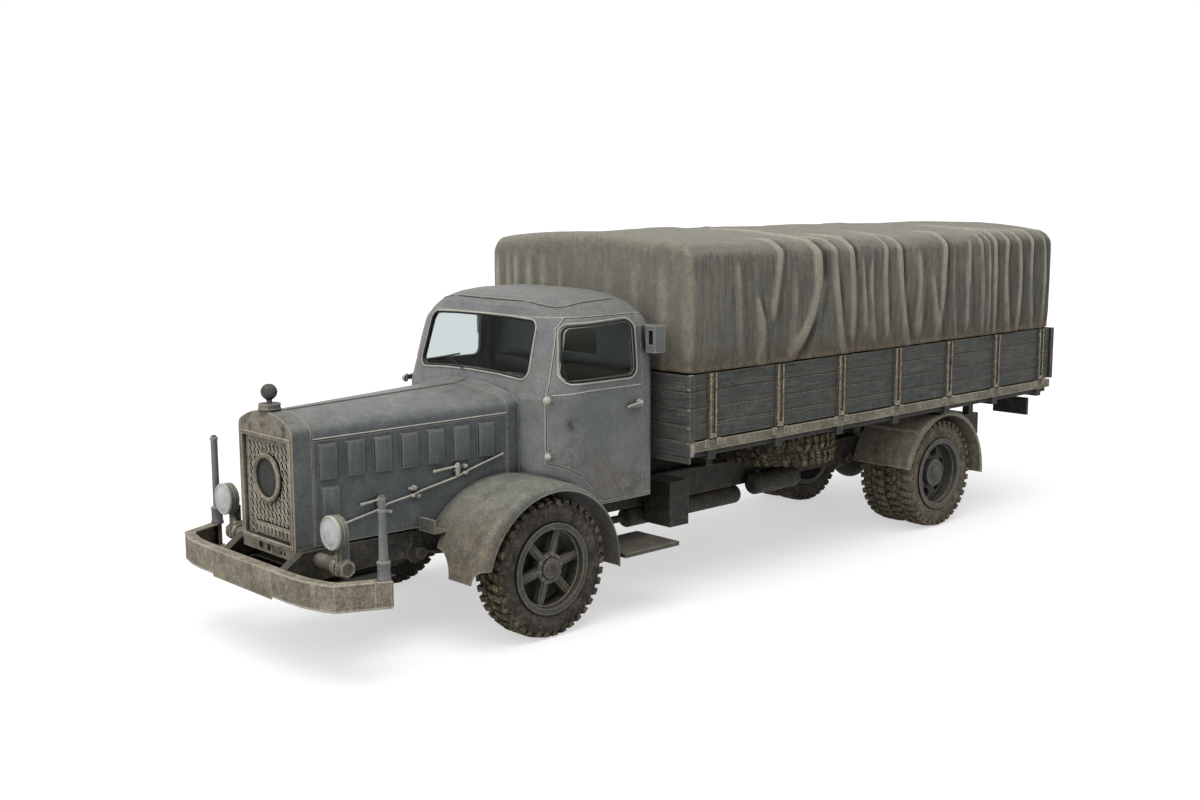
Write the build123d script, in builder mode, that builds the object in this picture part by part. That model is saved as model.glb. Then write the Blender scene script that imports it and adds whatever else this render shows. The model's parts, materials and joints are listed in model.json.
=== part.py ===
from build123d import *
import os
from math import sqrt

os.makedirs("parts", exist_ok=True)

# Bonneted cargo truck, +X forward, +Y to its left, +Z up, origin on the ground
# under the middle of its overall length. All sizes in millimetres.

# ---- driving dimensions -------------------------------------------------
FRONT_OVERHANG = 1927
WHEELBASE = 5050
REAR_OVERHANG = 1773
BED_WIDTH = 2500
CLEARANCE = 6            # gap around everything that opens

OVERALL_LENGTH = FRONT_OVERHANG + WHEELBASE + REAR_OVERHANG
FRONT_X = OVERALL_LENGTH / 2
REAR_X = -FRONT_X
FRONT_AXLE_X = FRONT_X - FRONT_OVERHANG
REAR_AXLE_X = FRONT_AXLE_X - WHEELBASE
BED_Y = BED_WIDTH / 2
SIDES = (("left", 1), ("right", -1))

# wheels and tyres
TYRE_RADIUS = 529
TYRE_WIDTH = 270
TYRE_SHOULDER_DROP = 26
BEAD_RADIUS = 338
FRONT_TYRE_Y = 1000
TWIN_OUTER_Y = 957
TWIN_GAP = 26
HUB_RADIUS = 105
HUB_CAP_RADIUS = 62
SPOKES = 6
RUNNING_GAP = 0.5
AXLE_Z = TYRE_RADIUS

# chassis
RAIL_OUTER_Y = 440
RAIL_FLANGE = 80
RAIL_WALL = 10
RAIL_BOTTOM_Z = 645
RAIL_TOP_Z = 875
RAIL_REAR_SETBACK = 90
HORN_TOP_Z = 712
HORN_BOTTOM_Z = 590

# bumper
BUMPER_BOTTOM_Z = 549
BUMPER_TOP_Z = 738
BUMPER_WALL = 12
BUMPER_FLANGE = 75
BUMPER_PLATE = 10
BUMPER_PLATE_HALF = 410
BUMPER_PLATE_DROP = 14

# radiator and bonnet
RADIATOR_SETBACK = 230
RADIATOR_DEPTH = 145
RADIATOR_BOTTOM_Z = 745
RADIATOR_TOP_Z = 1772
RADIATOR_HALF = 366
GRILLE_HALF = 311
GRILLE_BOTTOM_Z = 850
GRILLE_TOP_Z = 1575
GRILLE_DEPTH = 40
BONNET_FRONT_HALF = 385
BONNET_REAR_HALF = 611
BONNET_FRONT_TOP_Z = 1757
BONNET_REAR_TOP_Z = 1805
BONNET_FRONT_BOTTOM_Z = 832
BONNET_REAR_BOTTOM_Z = 884
CREASE_FRONT_Z = 1585
CREASE_REAR_Z = 1632
BONNET_WALL = 10
COWL_LENGTH = 100
HINGE_RADIUS = 9

# cab
CAB_SETBACK = 108        # front wall behind the front axle
CAB_LENGTH = 1090
CAB_HALF = 985
CAB_ROOF_HALF = 888
CAB_WALL = 30
BELT_Z = 1795
SCUTTLE_Z = 1740
SCREEN_BASE_Z = 1860
SCREEN_BASE_SETBACK = 40
SCREEN_TOP_SETBACK = 175
ROOF_EDGE_Z = 2345
ROOF_TOP_Z = 2520
FRONT_CORNER = 340
REAR_CORNER = 60
GLASS_THICKNESS = 6
GLASS_INSET = 12

# doors
DOOR_FRONT_SETBACK = 80
DOOR_REAR_MARGIN = 130
DOOR_BOTTOM_Z = 930
DOOR_TOP_Z = 2335
DOOR_ARCH_GAP = 108

# front fenders and rear mudguards
FENDER_OUTER_Y = 1200
FENDER_INNER_Y = 514
FENDER_WALL = 12
FENDER_RADIUS = 711
FENDER_CENTRE_AHEAD = 32
FENDER_CENTRE_Z = 470
FENDER_LIP_RADIUS = 648
FENDER_SHOULDER = 92
MUDGUARD_OUTER_Y = 1165
MUDGUARD_INNER_Y = 520
MUDGUARD_RADIUS = 655
MUDGUARD_LIP_RADIUS = 612
MUDGUARD_SHOULDER = 26
MUDGUARD_FRONT_Z = 665
MUDGUARD_REAR_Z = 460
MUDGUARD_STAY_Z = 975
FENDER_FRONT_Z = 535
FENDER_REAR_Z = 430

# bed and tarpaulin
BED_GAP = 150
FLOOR_TOP_Z = 1310
FLOOR_THICKNESS = 60
RAIL_HEIGHT = 80
BEARER_HEIGHT = 74
BEARER_WIDTH = 80
SIDE_TOP_Z = 1850
BOARD_THICKNESS = 28
POST_WIDTH = 80
POST_PROUD = 25
POST_PITCH = 830
POST_COUNT = 7
FIRST_POST_SETBACK = 263
HEM_Z = 1868
TARP_TOP_Z = 2955
TARP_CORNER = 230
TARP_CROWN = 12000
TARP_WALL = 12
TARP_END_ROUNDING = 90
BOW_COUNT = 6
BOW_DEPTH = 34

# ---- derived places -----------------------------------------------------
CAB_FRONT_X = FRONT_AXLE_X - CAB_SETBACK
CAB_REAR_X = CAB_FRONT_X - CAB_LENGTH
BED_FRONT_X = CAB_REAR_X - BED_GAP
COWL_FRONT_X = CAB_FRONT_X + COWL_LENGTH
RADIATOR_FRONT_X = FRONT_X - RADIATOR_SETBACK
RADIATOR_BACK_X = RADIATOR_FRONT_X - RADIATOR_DEPTH
BONNET_FRONT_X = RADIATOR_BACK_X - CLEARANCE
BONNET_REAR_X = COWL_FRONT_X + CLEARANCE
FENDER_X = FRONT_AXLE_X + FENDER_CENTRE_AHEAD
DOOR_FRONT_X = CAB_FRONT_X - DOOR_FRONT_SETBACK
DOOR_REAR_X = CAB_REAR_X + DOOR_REAR_MARGIN
CAB_BOTTOM_Z = DOOR_BOTTOM_Z - CLEARANCE - CAB_WALL
TWIN_INNER_Y = TWIN_OUTER_Y - TYRE_WIDTH - TWIN_GAP
FLOOR_BOTTOM_Z = FLOOR_TOP_Z - RAIL_HEIGHT
BEARER_BOTTOM_Z = FLOOR_BOTTOM_Z - BEARER_HEIGHT
BOARD_OUTER_Y = BED_Y - POST_PROUD
BOARD_INNER_Y = BOARD_OUTER_Y - BOARD_THICKNESS
POST_XS = [BED_FRONT_X - FIRST_POST_SETBACK - POST_PITCH * k for k in range(POST_COUNT)]


def between(front, rear, x):
    """Straight-line value along the bonnet, from its front to its rear."""
    share = (BONNET_FRONT_X - x) / (BONNET_FRONT_X - BONNET_REAR_X)
    return front + (rear - front) * share


def arched(x, half, bottom, top, corner, crown):
    """Face in the plane at x: upright sides, rounded corners and a crowned top."""
    corner_z = top - crown + sqrt((crown - corner) ** 2 - (half - corner) ** 2)
    crown_z = top - crown
    edge_y = (half - corner) * crown / (crown - corner)
    edge_z = crown_z + (corner_z - crown_z) * crown / (crown - corner)
    lean_y = half - corner + corner * 0.7071
    lean_z = corner_z + corner * 0.7071
    with BuildSketch(Plane.YZ.offset(x)) as face:
        with BuildLine():
            Polyline((-half, corner_z), (-half, bottom), (half, bottom), (half, corner_z))
            ThreePointArc((half, corner_z), (lean_y, lean_z), (edge_y, edge_z))
            ThreePointArc((edge_y, edge_z), (0, top), (-edge_y, edge_z))
            ThreePointArc((-edge_y, edge_z), (-lean_y, lean_z), (-half, corner_z))
        make_face()
    return face.sketch


def block(x, y, z, mode=Mode.ADD):
    """Box between (low, high) pairs, placed in the open part."""
    with Locations(((x[0] + x[1]) / 2, (y[0] + y[1]) / 2, (z[0] + z[1]) / 2)):
        Box(x[1] - x[0], y[1] - y[0], z[1] - z[0], mode=mode)


def side_prism(points, y_low, y_high):
    """Solid with a side outline of (X, Z) points, across from y_low to y_high."""
    with BuildPart() as piece:
        with BuildSketch(Plane.XZ.offset(-y_low)):
            with BuildLine():
                Polyline(*points, close=True)
            make_face()
        extrude(amount=y_low - y_high)
    return piece.part


def drum(x, z, y_low, y_high, radius):
    """Cylinder along Y, from y_low to y_high."""
    with BuildPart() as piece:
        with BuildSketch(Plane.XZ.offset(-y_low)):
            with Locations((x, z)):
                Circle(radius)
        extrude(amount=y_low - y_high)
    return piece.part


def ring(x, z, profile):
    """Solid of revolution about an axle along Y; profile is (Y, radius) points."""
    with BuildPart() as piece:
        with BuildSketch(Plane.YZ.offset(x)):
            with Locations((0, z)):
                with BuildLine():
                    Polyline(*[(y, z + radius) for y, radius in profile], close=True)
                make_face()
        revolve(axis=Axis((x, 0, z), (0, 1, 0)))
    return piece.part


def save(part, name):
    part.label = name
    export_step(part, f"parts/{name}.step")


# ==== chassis ============================================================
RAIL_INNER_Y = RAIL_OUTER_Y - RAIL_FLANGE
RAIL_REAR_X = REAR_X + RAIL_REAR_SETBACK
BUMPER_FACE_X = FRONT_X - BUMPER_PLATE
BUMPER_WEB_X = BUMPER_FACE_X - BUMPER_WALL
RAIL_DROP_X = FRONT_AXLE_X + 150
RAIL_FRONT_TOP_Z = 825
RAIL_SIDE = [
    (RAIL_REAR_X, RAIL_BOTTOM_Z),
    (RADIATOR_FRONT_X - 1100, RAIL_BOTTOM_Z),
    (RADIATOR_FRONT_X, HORN_BOTTOM_Z + 12),
    (BUMPER_WEB_X, HORN_BOTTOM_Z),
    (BUMPER_WEB_X, HORN_TOP_Z),
    (RADIATOR_FRONT_X + 140, HORN_TOP_Z + 4),
    (RADIATOR_FRONT_X + 60, HORN_TOP_Z + 60),
    (RADIATOR_FRONT_X - 20, RAIL_FRONT_TOP_Z),
    (RAIL_DROP_X + 300, RAIL_FRONT_TOP_Z),
    (RAIL_DROP_X, RAIL_TOP_Z),
    (RAIL_REAR_X, RAIL_TOP_Z),
]

with BuildPart() as rails:
    with BuildSketch(Plane.XZ.offset(-RAIL_INNER_Y)):
        with BuildLine():
            Polyline(*RAIL_SIDE, close=True)
        make_face()
    extrude(amount=-RAIL_FLANGE)
    with BuildSketch(Plane.XZ.offset(-RAIL_INNER_Y)):
        with BuildLine():
            Polyline(*RAIL_SIDE, close=True)
        make_face()
        offset(amount=-RAIL_WALL, kind=Kind.INTERSECTION, mode=Mode.REPLACE)
    extrude(amount=-(RAIL_FLANGE - RAIL_WALL), mode=Mode.SUBTRACT)
    mirror(about=Plane.XZ)
save(rails.part, "rails")

# crossmembers lie between the rails' webs: (centre X, low Z, high Z)
CROSS_LENGTH = 80
CROSS_MARGIN = 10
CROSS_LOW_Z = RAIL_BOTTOM_Z + RAIL_WALL
CROSS_HIGH_Z = RAIL_TOP_Z - RAIL_WALL
CROSSMEMBERS = (
    (RADIATOR_BACK_X - 50, CROSS_LOW_Z, RADIATOR_BOTTOM_Z - CROSS_MARGIN),
    (CAB_REAR_X + 600, CROSS_LOW_Z, CROSS_LOW_Z + 45),
    (BED_FRONT_X - 200, CROSS_HIGH_Z - 60, CROSS_HIGH_Z),
    (BED_FRONT_X - 1400, CROSS_HIGH_Z - 60, CROSS_HIGH_Z),
    (REAR_AXLE_X + 800, CROSS_HIGH_Z - 60, CROSS_HIGH_Z),
    (REAR_AXLE_X - 800, CROSS_LOW_Z, CROSS_HIGH_Z),
    (RAIL_REAR_X + RAIL_WALL + CROSS_LENGTH / 2, CROSS_LOW_Z, CROSS_HIGH_Z),
)
CROSS_HALF = RAIL_OUTER_Y - RAIL_WALL

APRON_REAR_X = FRONT_AXLE_X + 850
APRON_THICKNESS = 8
GUARD_FRONT_X = RADIATOR_FRONT_X - 45
GUARD_HALF = RAIL_INNER_Y - 5
GUARD_BOTTOM_Z = CROSS_LOW_Z - 90
with BuildPart() as crossmembers:
    block((APRON_REAR_X, RADIATOR_BACK_X + 60), (-RAIL_INNER_Y + 5, RAIL_INNER_Y - 5),
          (CROSS_LOW_Z - APRON_THICKNESS, CROSS_LOW_Z + 1))
    # a guard under the sump: its plate, then its two cheeks up to the apron
    block((APRON_REAR_X, GUARD_FRONT_X), (-GUARD_HALF, GUARD_HALF), (GUARD_BOTTOM_Z, GUARD_BOTTOM_Z + APRON_THICKNESS))
    for edge_y in (-GUARD_HALF, GUARD_HALF - APRON_THICKNESS):
        block((APRON_REAR_X, GUARD_FRONT_X), (edge_y, edge_y + APRON_THICKNESS), (GUARD_BOTTOM_Z, CROSS_LOW_Z))
    for centre_x, low_z, high_z in CROSSMEMBERS:
        block((centre_x - CROSS_LENGTH / 2, centre_x + CROSS_LENGTH / 2),
              (-CROSS_HALF, CROSS_HALF), (low_z, high_z))

# bumper: a channel open to the rear, bent round the nose; (setback, Y) of its face
BUMPER_PLAN = (
    (0, 600),
    (15, 780),
    (58, 950),
    (99, 1040),
    (265, 1115),
    (445, 1200),
)
BUMPER_LINE = [(BUMPER_FACE_X - back, -y) for back, y in reversed(BUMPER_PLAN)]
BUMPER_LINE += [(BUMPER_FACE_X - back, y) for back, y in BUMPER_PLAN]
BUMPER_END_X = BUMPER_FACE_X - BUMPER_PLAN[-1][0]

with BuildPart() as bumper:
    with BuildSketch(Plane.XY.offset(BUMPER_BOTTOM_Z)):
        with BuildLine():
            Polyline(*BUMPER_LINE)
            offset(amount=BUMPER_WALL, side=Side.LEFT)
        make_face()
    extrude(amount=BUMPER_TOP_Z - BUMPER_BOTTOM_Z)
    with BuildSketch(Plane.XY.offset(BUMPER_BOTTOM_Z)):
        with BuildLine():
            Polyline(*BUMPER_LINE, close=True)
        make_face()
    extrude(amount=BUMPER_WALL)
    for flange_z in (BUMPER_BOTTOM_Z, BUMPER_TOP_Z - BUMPER_WALL):
        with BuildSketch(Plane.XY.offset(flange_z)):
            with BuildLine():
                Polyline(*BUMPER_LINE)
                offset(amount=BUMPER_FLANGE, side=Side.LEFT)
            make_face()
        extrude(amount=BUMPER_WALL)
    block((BUMPER_FACE_X, FRONT_X), (-BUMPER_PLATE_HALF, BUMPER_PLATE_HALF),
          (BUMPER_BOTTOM_Z - BUMPER_PLATE_DROP, BUMPER_TOP_Z))
save(bumper.part, "bumper")

# ==== driveline ==========================================================
ENGINE_HALF = 260
ENGINE_FRONT_X = RADIATOR_BACK_X - 160
ENGINE_REAR_X = FRONT_AXLE_X + 210
ENGINE_BOTTOM_Z = 665
ENGINE_TOP_Z = 1430
GEARBOX_REAR_X = CAB_REAR_X + 700
SHAFT_FRONT_Z = 780
SHAFT_REAR_Z = 600
SHAFT_RADIUS = 42
DIFF_NOSE_X = REAR_AXLE_X + 300
SHAFT_END_GAP = 4

with BuildPart() as engine:
    block((ENGINE_REAR_X, ENGINE_FRONT_X), (-ENGINE_HALF, ENGINE_HALF), (ENGINE_BOTTOM_Z, ENGINE_TOP_Z))
save(engine.part, "engine")

with BuildPart() as driveline:
    block((GEARBOX_REAR_X, ENGINE_REAR_X), (-170, 170), (SHAFT_FRONT_Z - 70, SHAFT_FRONT_Z + 110))
    with BuildSketch(Plane(origin=(GEARBOX_REAR_X, 0, SHAFT_FRONT_Z),
                           z_dir=(DIFF_NOSE_X - GEARBOX_REAR_X, 0, SHAFT_REAR_Z - SHAFT_FRONT_Z))):
        Circle(SHAFT_RADIUS)
    extrude(amount=sqrt((DIFF_NOSE_X - GEARBOX_REAR_X) ** 2 + (SHAFT_REAR_Z - SHAFT_FRONT_Z) ** 2) - SHAFT_END_GAP)
save(driveline.part, "driveline")

# silencer under the left rail, its pipe leading forward to the engine
SILENCER_RADIUS = 85
SILENCER_Y = 390
SILENCER_Z = RAIL_BOTTOM_Z - SILENCER_RADIUS - 4
SILENCER_FRONT_X = BED_FRONT_X - 80
SILENCER_REAR_X = BED_FRONT_X - 1500
PIPE_RADIUS = 32

with BuildPart() as silencer:
    with BuildSketch(Plane.YZ.offset(SILENCER_REAR_X)):
        with Locations((SILENCER_Y, SILENCER_Z)):
            Circle(SILENCER_RADIUS)
    extrude(amount=SILENCER_FRONT_X - SILENCER_REAR_X)
    fillet(silencer.edges().filter_by(GeomType.CIRCLE), SILENCER_RADIUS * 0.45)
    with BuildSketch(Plane.YZ.offset(SILENCER_FRONT_X)):
        with Locations((SILENCER_Y, SILENCER_Z)):
            Circle(PIPE_RADIUS)
    extrude(amount=ENGINE_REAR_X - 560 - SILENCER_FRONT_X)
    for strap_x in (SILENCER_REAR_X + 220, SILENCER_FRONT_X - 220):
        block((strap_x - 20, strap_x + 20), (SILENCER_Y - 12, SILENCER_Y + 12), (SILENCER_Z, RAIL_BOTTOM_Z))
save(silencer.part, "silencer")

# ==== axles, springs and steering ========================================
KINGPIN_Y = 800
KINGPIN_RADIUS = 20
FIST_RADIUS = 38
FIST_HALF = 58
BEAM_HALF = 34
BEAM_TOP_Z = AXLE_Z + 42
BEAM_BOTTOM_Z = AXLE_Z - 42
EAR_HEIGHT = 30
EAR_RADIUS = 46
SPINDLE_RADIUS = 34
SPINDLE_END_Y = FRONT_TYRE_Y + 85
SPRING_Y = 481
SPRING_WIDTH = 60
LEAF_COUNT = 5
LEAF_THICKNESS = 12
EYE_RADIUS = 30
HANGER_RADIUS = 80
EYE_BOLT_RADIUS = 44
EYE_BOLT_REACH = 14
FRONT_SPRING_HALF = 740
REAR_SPRING_HALF = 690
REAR_TUBE_RADIUS = 68


def spring_pack(x, half_length, seat_z, eye_z):
    """Leaf packs outside both rails, on a seat at seat_z, with eyes and hangers on the rails."""
    low_y = SPRING_Y - SPRING_WIDTH / 2
    with BuildPart() as pack:
        for leaf in range(LEAF_COUNT):
            reach = half_length * (LEAF_COUNT - leaf * 0.85) / LEAF_COUNT
            share = (reach / half_length) ** 2
            low_z = seat_z + LEAF_THICKNESS * (LEAF_COUNT - 1 - leaf)
            tip_z = low_z + (eye_z - seat_z - LEAF_THICKNESS * (LEAF_COUNT - 1)) * share
            with BuildSketch(Plane.XZ.offset(-low_y)):
                with BuildLine():
                    ThreePointArc((x - reach, tip_z), (x, low_z), (x + reach, tip_z))
                    Line((x + reach, tip_z), (x + reach, tip_z + LEAF_THICKNESS))
                    ThreePointArc((x + reach, tip_z + LEAF_THICKNESS), (x, low_z + LEAF_THICKNESS),
                                  (x - reach, tip_z + LEAF_THICKNESS))
                    Line((x - reach, tip_z + LEAF_THICKNESS), (x - reach, tip_z))
                make_face()
            extrude(amount=-SPRING_WIDTH)
        for end_x in (x - half_length, x + half_length):
            with BuildSketch(Plane.XZ.offset(-RAIL_OUTER_Y)):
                with Locations((end_x, eye_z)):
                    Circle(EYE_RADIUS)
            extrude(amount=-(SPRING_Y + SPRING_WIDTH / 2 - RAIL_OUTER_Y))
            block((end_x - 45, end_x + 45), (RAIL_OUTER_Y, RAIL_OUTER_Y + 12),
                  (eye_z - 40, RAIL_TOP_Z - 60))
            with BuildSketch(Plane.XZ.offset(-RAIL_OUTER_Y)):
                with Locations((end_x, eye_z)):
                    Circle(HANGER_RADIUS)
            extrude(amount=-(SPRING_Y - SPRING_WIDTH / 2 - RAIL_OUTER_Y))
            with BuildSketch(Plane.XZ.offset(-(SPRING_Y + SPRING_WIDTH / 2))):
                with Locations((end_x, eye_z)):
                    Circle(EYE_BOLT_RADIUS)
            extrude(amount=-EYE_BOLT_REACH)
        mirror(about=Plane.XZ)
    return pack.part


with BuildPart() as front_axle:
    with BuildSketch(Plane.XZ.offset(KINGPIN_Y - FIST_RADIUS + 4)):
        with Locations((FRONT_AXLE_X, AXLE_Z)):
            Rectangle(2 * BEAM_HALF, BEAM_TOP_Z - BEAM_BOTTOM_Z)
            Rectangle(2 * BEAM_HALF - 16, BEAM_TOP_Z - BEAM_BOTTOM_Z - 36, mode=Mode.SUBTRACT)
            Rectangle(16, BEAM_TOP_Z - BEAM_BOTTOM_Z)
    extrude(amount=-2 * (KINGPIN_Y - FIST_RADIUS + 4))
    for side, sign in SIDES:
        with BuildSketch(Plane.XY.offset(AXLE_Z - FIST_HALF)):
            with Locations((FRONT_AXLE_X, sign * KINGPIN_Y)):
                Circle(FIST_RADIUS)
        extrude(amount=2 * FIST_HALF)
        with BuildSketch(Plane.XY.offset(AXLE_Z - FIST_HALF)):
            with Locations((FRONT_AXLE_X, sign * KINGPIN_Y)):
                Circle(KINGPIN_RADIUS + RUNNING_GAP)
        extrude(amount=2 * FIST_HALF, mode=Mode.SUBTRACT)
save(front_axle.part, "front_axle")
save(spring_pack(FRONT_AXLE_X, FRONT_SPRING_HALF, BEAM_TOP_Z, RAIL_BOTTOM_Z + 20), "front_springs")

ARM_BACK = 210
ARM_Y = KINGPIN_Y
ARM_BOTTOM_Z = AXLE_Z - FIST_HALF - RUNNING_GAP - EAR_HEIGHT
TIE_ROD_RADIUS = 15
TIE_PIN_RADIUS = 12
TIE_ROD_Z = ARM_BOTTOM_Z - TIE_ROD_RADIUS - 7

for side, sign in SIDES:
    with BuildPart() as knuckle:
        for ear_z in (AXLE_Z + FIST_HALF + RUNNING_GAP, ARM_BOTTOM_Z):
            with BuildSketch(Plane.XY.offset(ear_z)):
                with Locations((FRONT_AXLE_X, sign * KINGPIN_Y)):
                    Circle(EAR_RADIUS)
                with Locations((FRONT_AXLE_X, sign * (KINGPIN_Y + 40))):
                    Rectangle(2 * EAR_RADIUS - 10, 44)
            extrude(amount=EAR_HEIGHT)
        block((FRONT_AXLE_X - EAR_RADIUS, FRONT_AXLE_X + EAR_RADIUS),
              sorted((sign * (KINGPIN_Y + EAR_RADIUS), sign * (KINGPIN_Y + EAR_RADIUS + 22))),
              (ARM_BOTTOM_Z, AXLE_Z + FIST_HALF + RUNNING_GAP + EAR_HEIGHT))
        with BuildSketch(Plane.XY.offset(ARM_BOTTOM_Z)):
            with Locations((FRONT_AXLE_X, sign * KINGPIN_Y)):
                Circle(KINGPIN_RADIUS)
        extrude(amount=2 * (FIST_HALF + EAR_HEIGHT))
        add(drum(FRONT_AXLE_X, AXLE_Z,
                 *sorted((sign * (KINGPIN_Y + EAR_RADIUS + 10), sign * SPINDLE_END_Y)), SPINDLE_RADIUS))
        with BuildSketch(Plane.XY.offset(ARM_BOTTOM_Z)):
            with BuildLine():
                Polyline((FRONT_AXLE_X, sign * (KINGPIN_Y - 30)), (FRONT_AXLE_X, sign * (KINGPIN_Y + 30)),
                         (FRONT_AXLE_X - ARM_BACK - 24, sign * (ARM_Y + 22)),
                         (FRONT_AXLE_X - ARM_BACK - 24, sign * (ARM_Y - 22)), close=True)
            make_face()
        extrude(amount=18)
        with BuildSketch(Plane.XY.offset(TIE_ROD_Z)):
            with Locations((FRONT_AXLE_X - ARM_BACK, sign * ARM_Y)):
                Circle(TIE_PIN_RADIUS)
        extrude(amount=ARM_BOTTOM_Z - TIE_ROD_Z)
    save(knuckle.part, f"knuckle_{side}")

with BuildPart() as tie_rod:
    with BuildSketch(Plane.XZ.offset(ARM_Y)):
        with Locations((FRONT_AXLE_X - ARM_BACK, TIE_ROD_Z)):
            Circle(TIE_ROD_RADIUS)
    extrude(amount=-2 * ARM_Y)
    for side, sign in SIDES:
        with BuildSketch(Plane.XY.offset(TIE_ROD_Z - TIE_ROD_RADIUS - 6)):
            with Locations((FRONT_AXLE_X - ARM_BACK, sign * ARM_Y)):
                Circle(26)
        extrude(amount=2 * TIE_ROD_RADIUS + 12)
        with BuildSketch(Plane.XY.offset(TIE_ROD_Z)):
            with Locations((FRONT_AXLE_X - ARM_BACK, sign * ARM_Y)):
                Circle(TIE_PIN_RADIUS + RUNNING_GAP)
        extrude(amount=TIE_ROD_RADIUS + 6, mode=Mode.SUBTRACT)
        with BuildSketch(Plane.XY.offset(TIE_ROD_Z - RUNNING_GAP)):
            with Locations((FRONT_AXLE_X - ARM_BACK, sign * ARM_Y)):
                Circle(TIE_PIN_RADIUS + RUNNING_GAP)
        extrude(amount=RUNNING_GAP, mode=Mode.SUBTRACT)
save(tie_rod.part, "tie_rod")

with BuildPart() as rear_axle:
    add(drum(REAR_AXLE_X, AXLE_Z, -(TWIN_INNER_Y - TYRE_WIDTH / 2 - 15), TWIN_INNER_Y - TYRE_WIDTH / 2 - 15,
             REAR_TUBE_RADIUS))
    add(drum(REAR_AXLE_X, AXLE_Z, -(TWIN_OUTER_Y + 60), TWIN_OUTER_Y + 60, SPINDLE_RADIUS))
    with Locations((REAR_AXLE_X, 0, AXLE_Z)):
        Sphere(185)
    with BuildSketch(Plane.YZ.offset(REAR_AXLE_X)):
        with Locations((0, AXLE_Z + 40)):
            Circle(105)
    extrude(amount=DIFF_NOSE_X - REAR_AXLE_X)
save(rear_axle.part, "rear_axle")
save(spring_pack(REAR_AXLE_X, REAR_SPRING_HALF, AXLE_Z + REAR_TUBE_RADIUS, RAIL_BOTTOM_Z + 55), "rear_springs")

# ==== wheels and tyres ===================================================
HUB_BORE = SPINDLE_RADIUS + RUNNING_GAP
SPOKE_DEPTH = 46
WINDOW_COUNT = 6
FRONT_HUB_FACE_Y = FRONT_TYRE_Y + 105
HUB_CAP_HEIGHT = 34
REAR_HUB_FACE_Y = TWIN_OUTER_Y + 80
REAR_DISC_Y = TWIN_OUTER_Y - 10
REAR_DISC_THICKNESS = 22


def outboard(x, sign, y):
    """Sketch plane across an axle, facing away from the truck on the given side."""
    return Plane(origin=(x, sign * y, AXLE_Z), x_dir=(1, 0, 0), z_dir=(0, sign, 0))


# one tyre about the origin: bulged sidewalls, open bead, lugs between cross grooves
LUG_COUNT = 38
GROOVE_WIDTH = 36
GROOVE_DEPTH = 22
TYRE_SIDE = TYRE_WIDTH / 2
with BuildPart() as lugged_tyre:
    add(ring(0, 0, [
        (-TYRE_SIDE + 30, BEAD_RADIUS),
        (-TYRE_SIDE + 4, BEAD_RADIUS + 42),
        (-TYRE_SIDE, BEAD_RADIUS + 95),
        (-TYRE_SIDE + 10, TYRE_RADIUS - TYRE_SHOULDER_DROP),
        (-TYRE_SIDE + 34, TYRE_RADIUS),
        (TYRE_SIDE - 34, TYRE_RADIUS),
        (TYRE_SIDE - 10, TYRE_RADIUS - TYRE_SHOULDER_DROP),
        (TYRE_SIDE, BEAD_RADIUS + 95),
        (TYRE_SIDE - 4, BEAD_RADIUS + 42),
        (TYRE_SIDE - 30, BEAD_RADIUS),
    ]))
    with Locations(Plane.XZ):
        with PolarLocations(TYRE_RADIUS, LUG_COUNT, start_angle=180 / LUG_COUNT - 90):
            Box(2 * GROOVE_DEPTH, GROOVE_WIDTH, TYRE_WIDTH + 2, mode=Mode.SUBTRACT)


def tyre(x, z, centre_y):
    """Lugged tyre whose middle stands at the given place."""
    return lugged_tyre.part.translate((x, centre_y, z))


def rim(x, z, centre_y):
    """Rim barrel that fills a tyre's bead, with a raised flange each side."""
    half = TYRE_WIDTH / 2
    return ring(x, z, [
        (centre_y - half - 4, BEAD_RADIUS - 38),
        (centre_y - half - 4, BEAD_RADIUS + 8),
        (centre_y - half + 4, BEAD_RADIUS + 8),
        (centre_y - half + 30, BEAD_RADIUS),
        (centre_y + half - 30, BEAD_RADIUS),
        (centre_y + half - 4, BEAD_RADIUS + 8),
        (centre_y + half + 4, BEAD_RADIUS + 8),
        (centre_y + half + 4, BEAD_RADIUS - 38),
    ])


def hub_cap(x, sign, face_y):
    """Domed cap on a hub's outer face."""
    return ring(x, AXLE_Z, [
        (sign * face_y, 0),
        (sign * face_y, HUB_CAP_RADIUS),
        (sign * (face_y + HUB_CAP_HEIGHT * 0.6), HUB_CAP_RADIUS * 0.94),
        (sign * (face_y + HUB_CAP_HEIGHT * 0.92), HUB_CAP_RADIUS * 0.62),
        (sign * (face_y + HUB_CAP_HEIGHT), 0),
    ])


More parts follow.
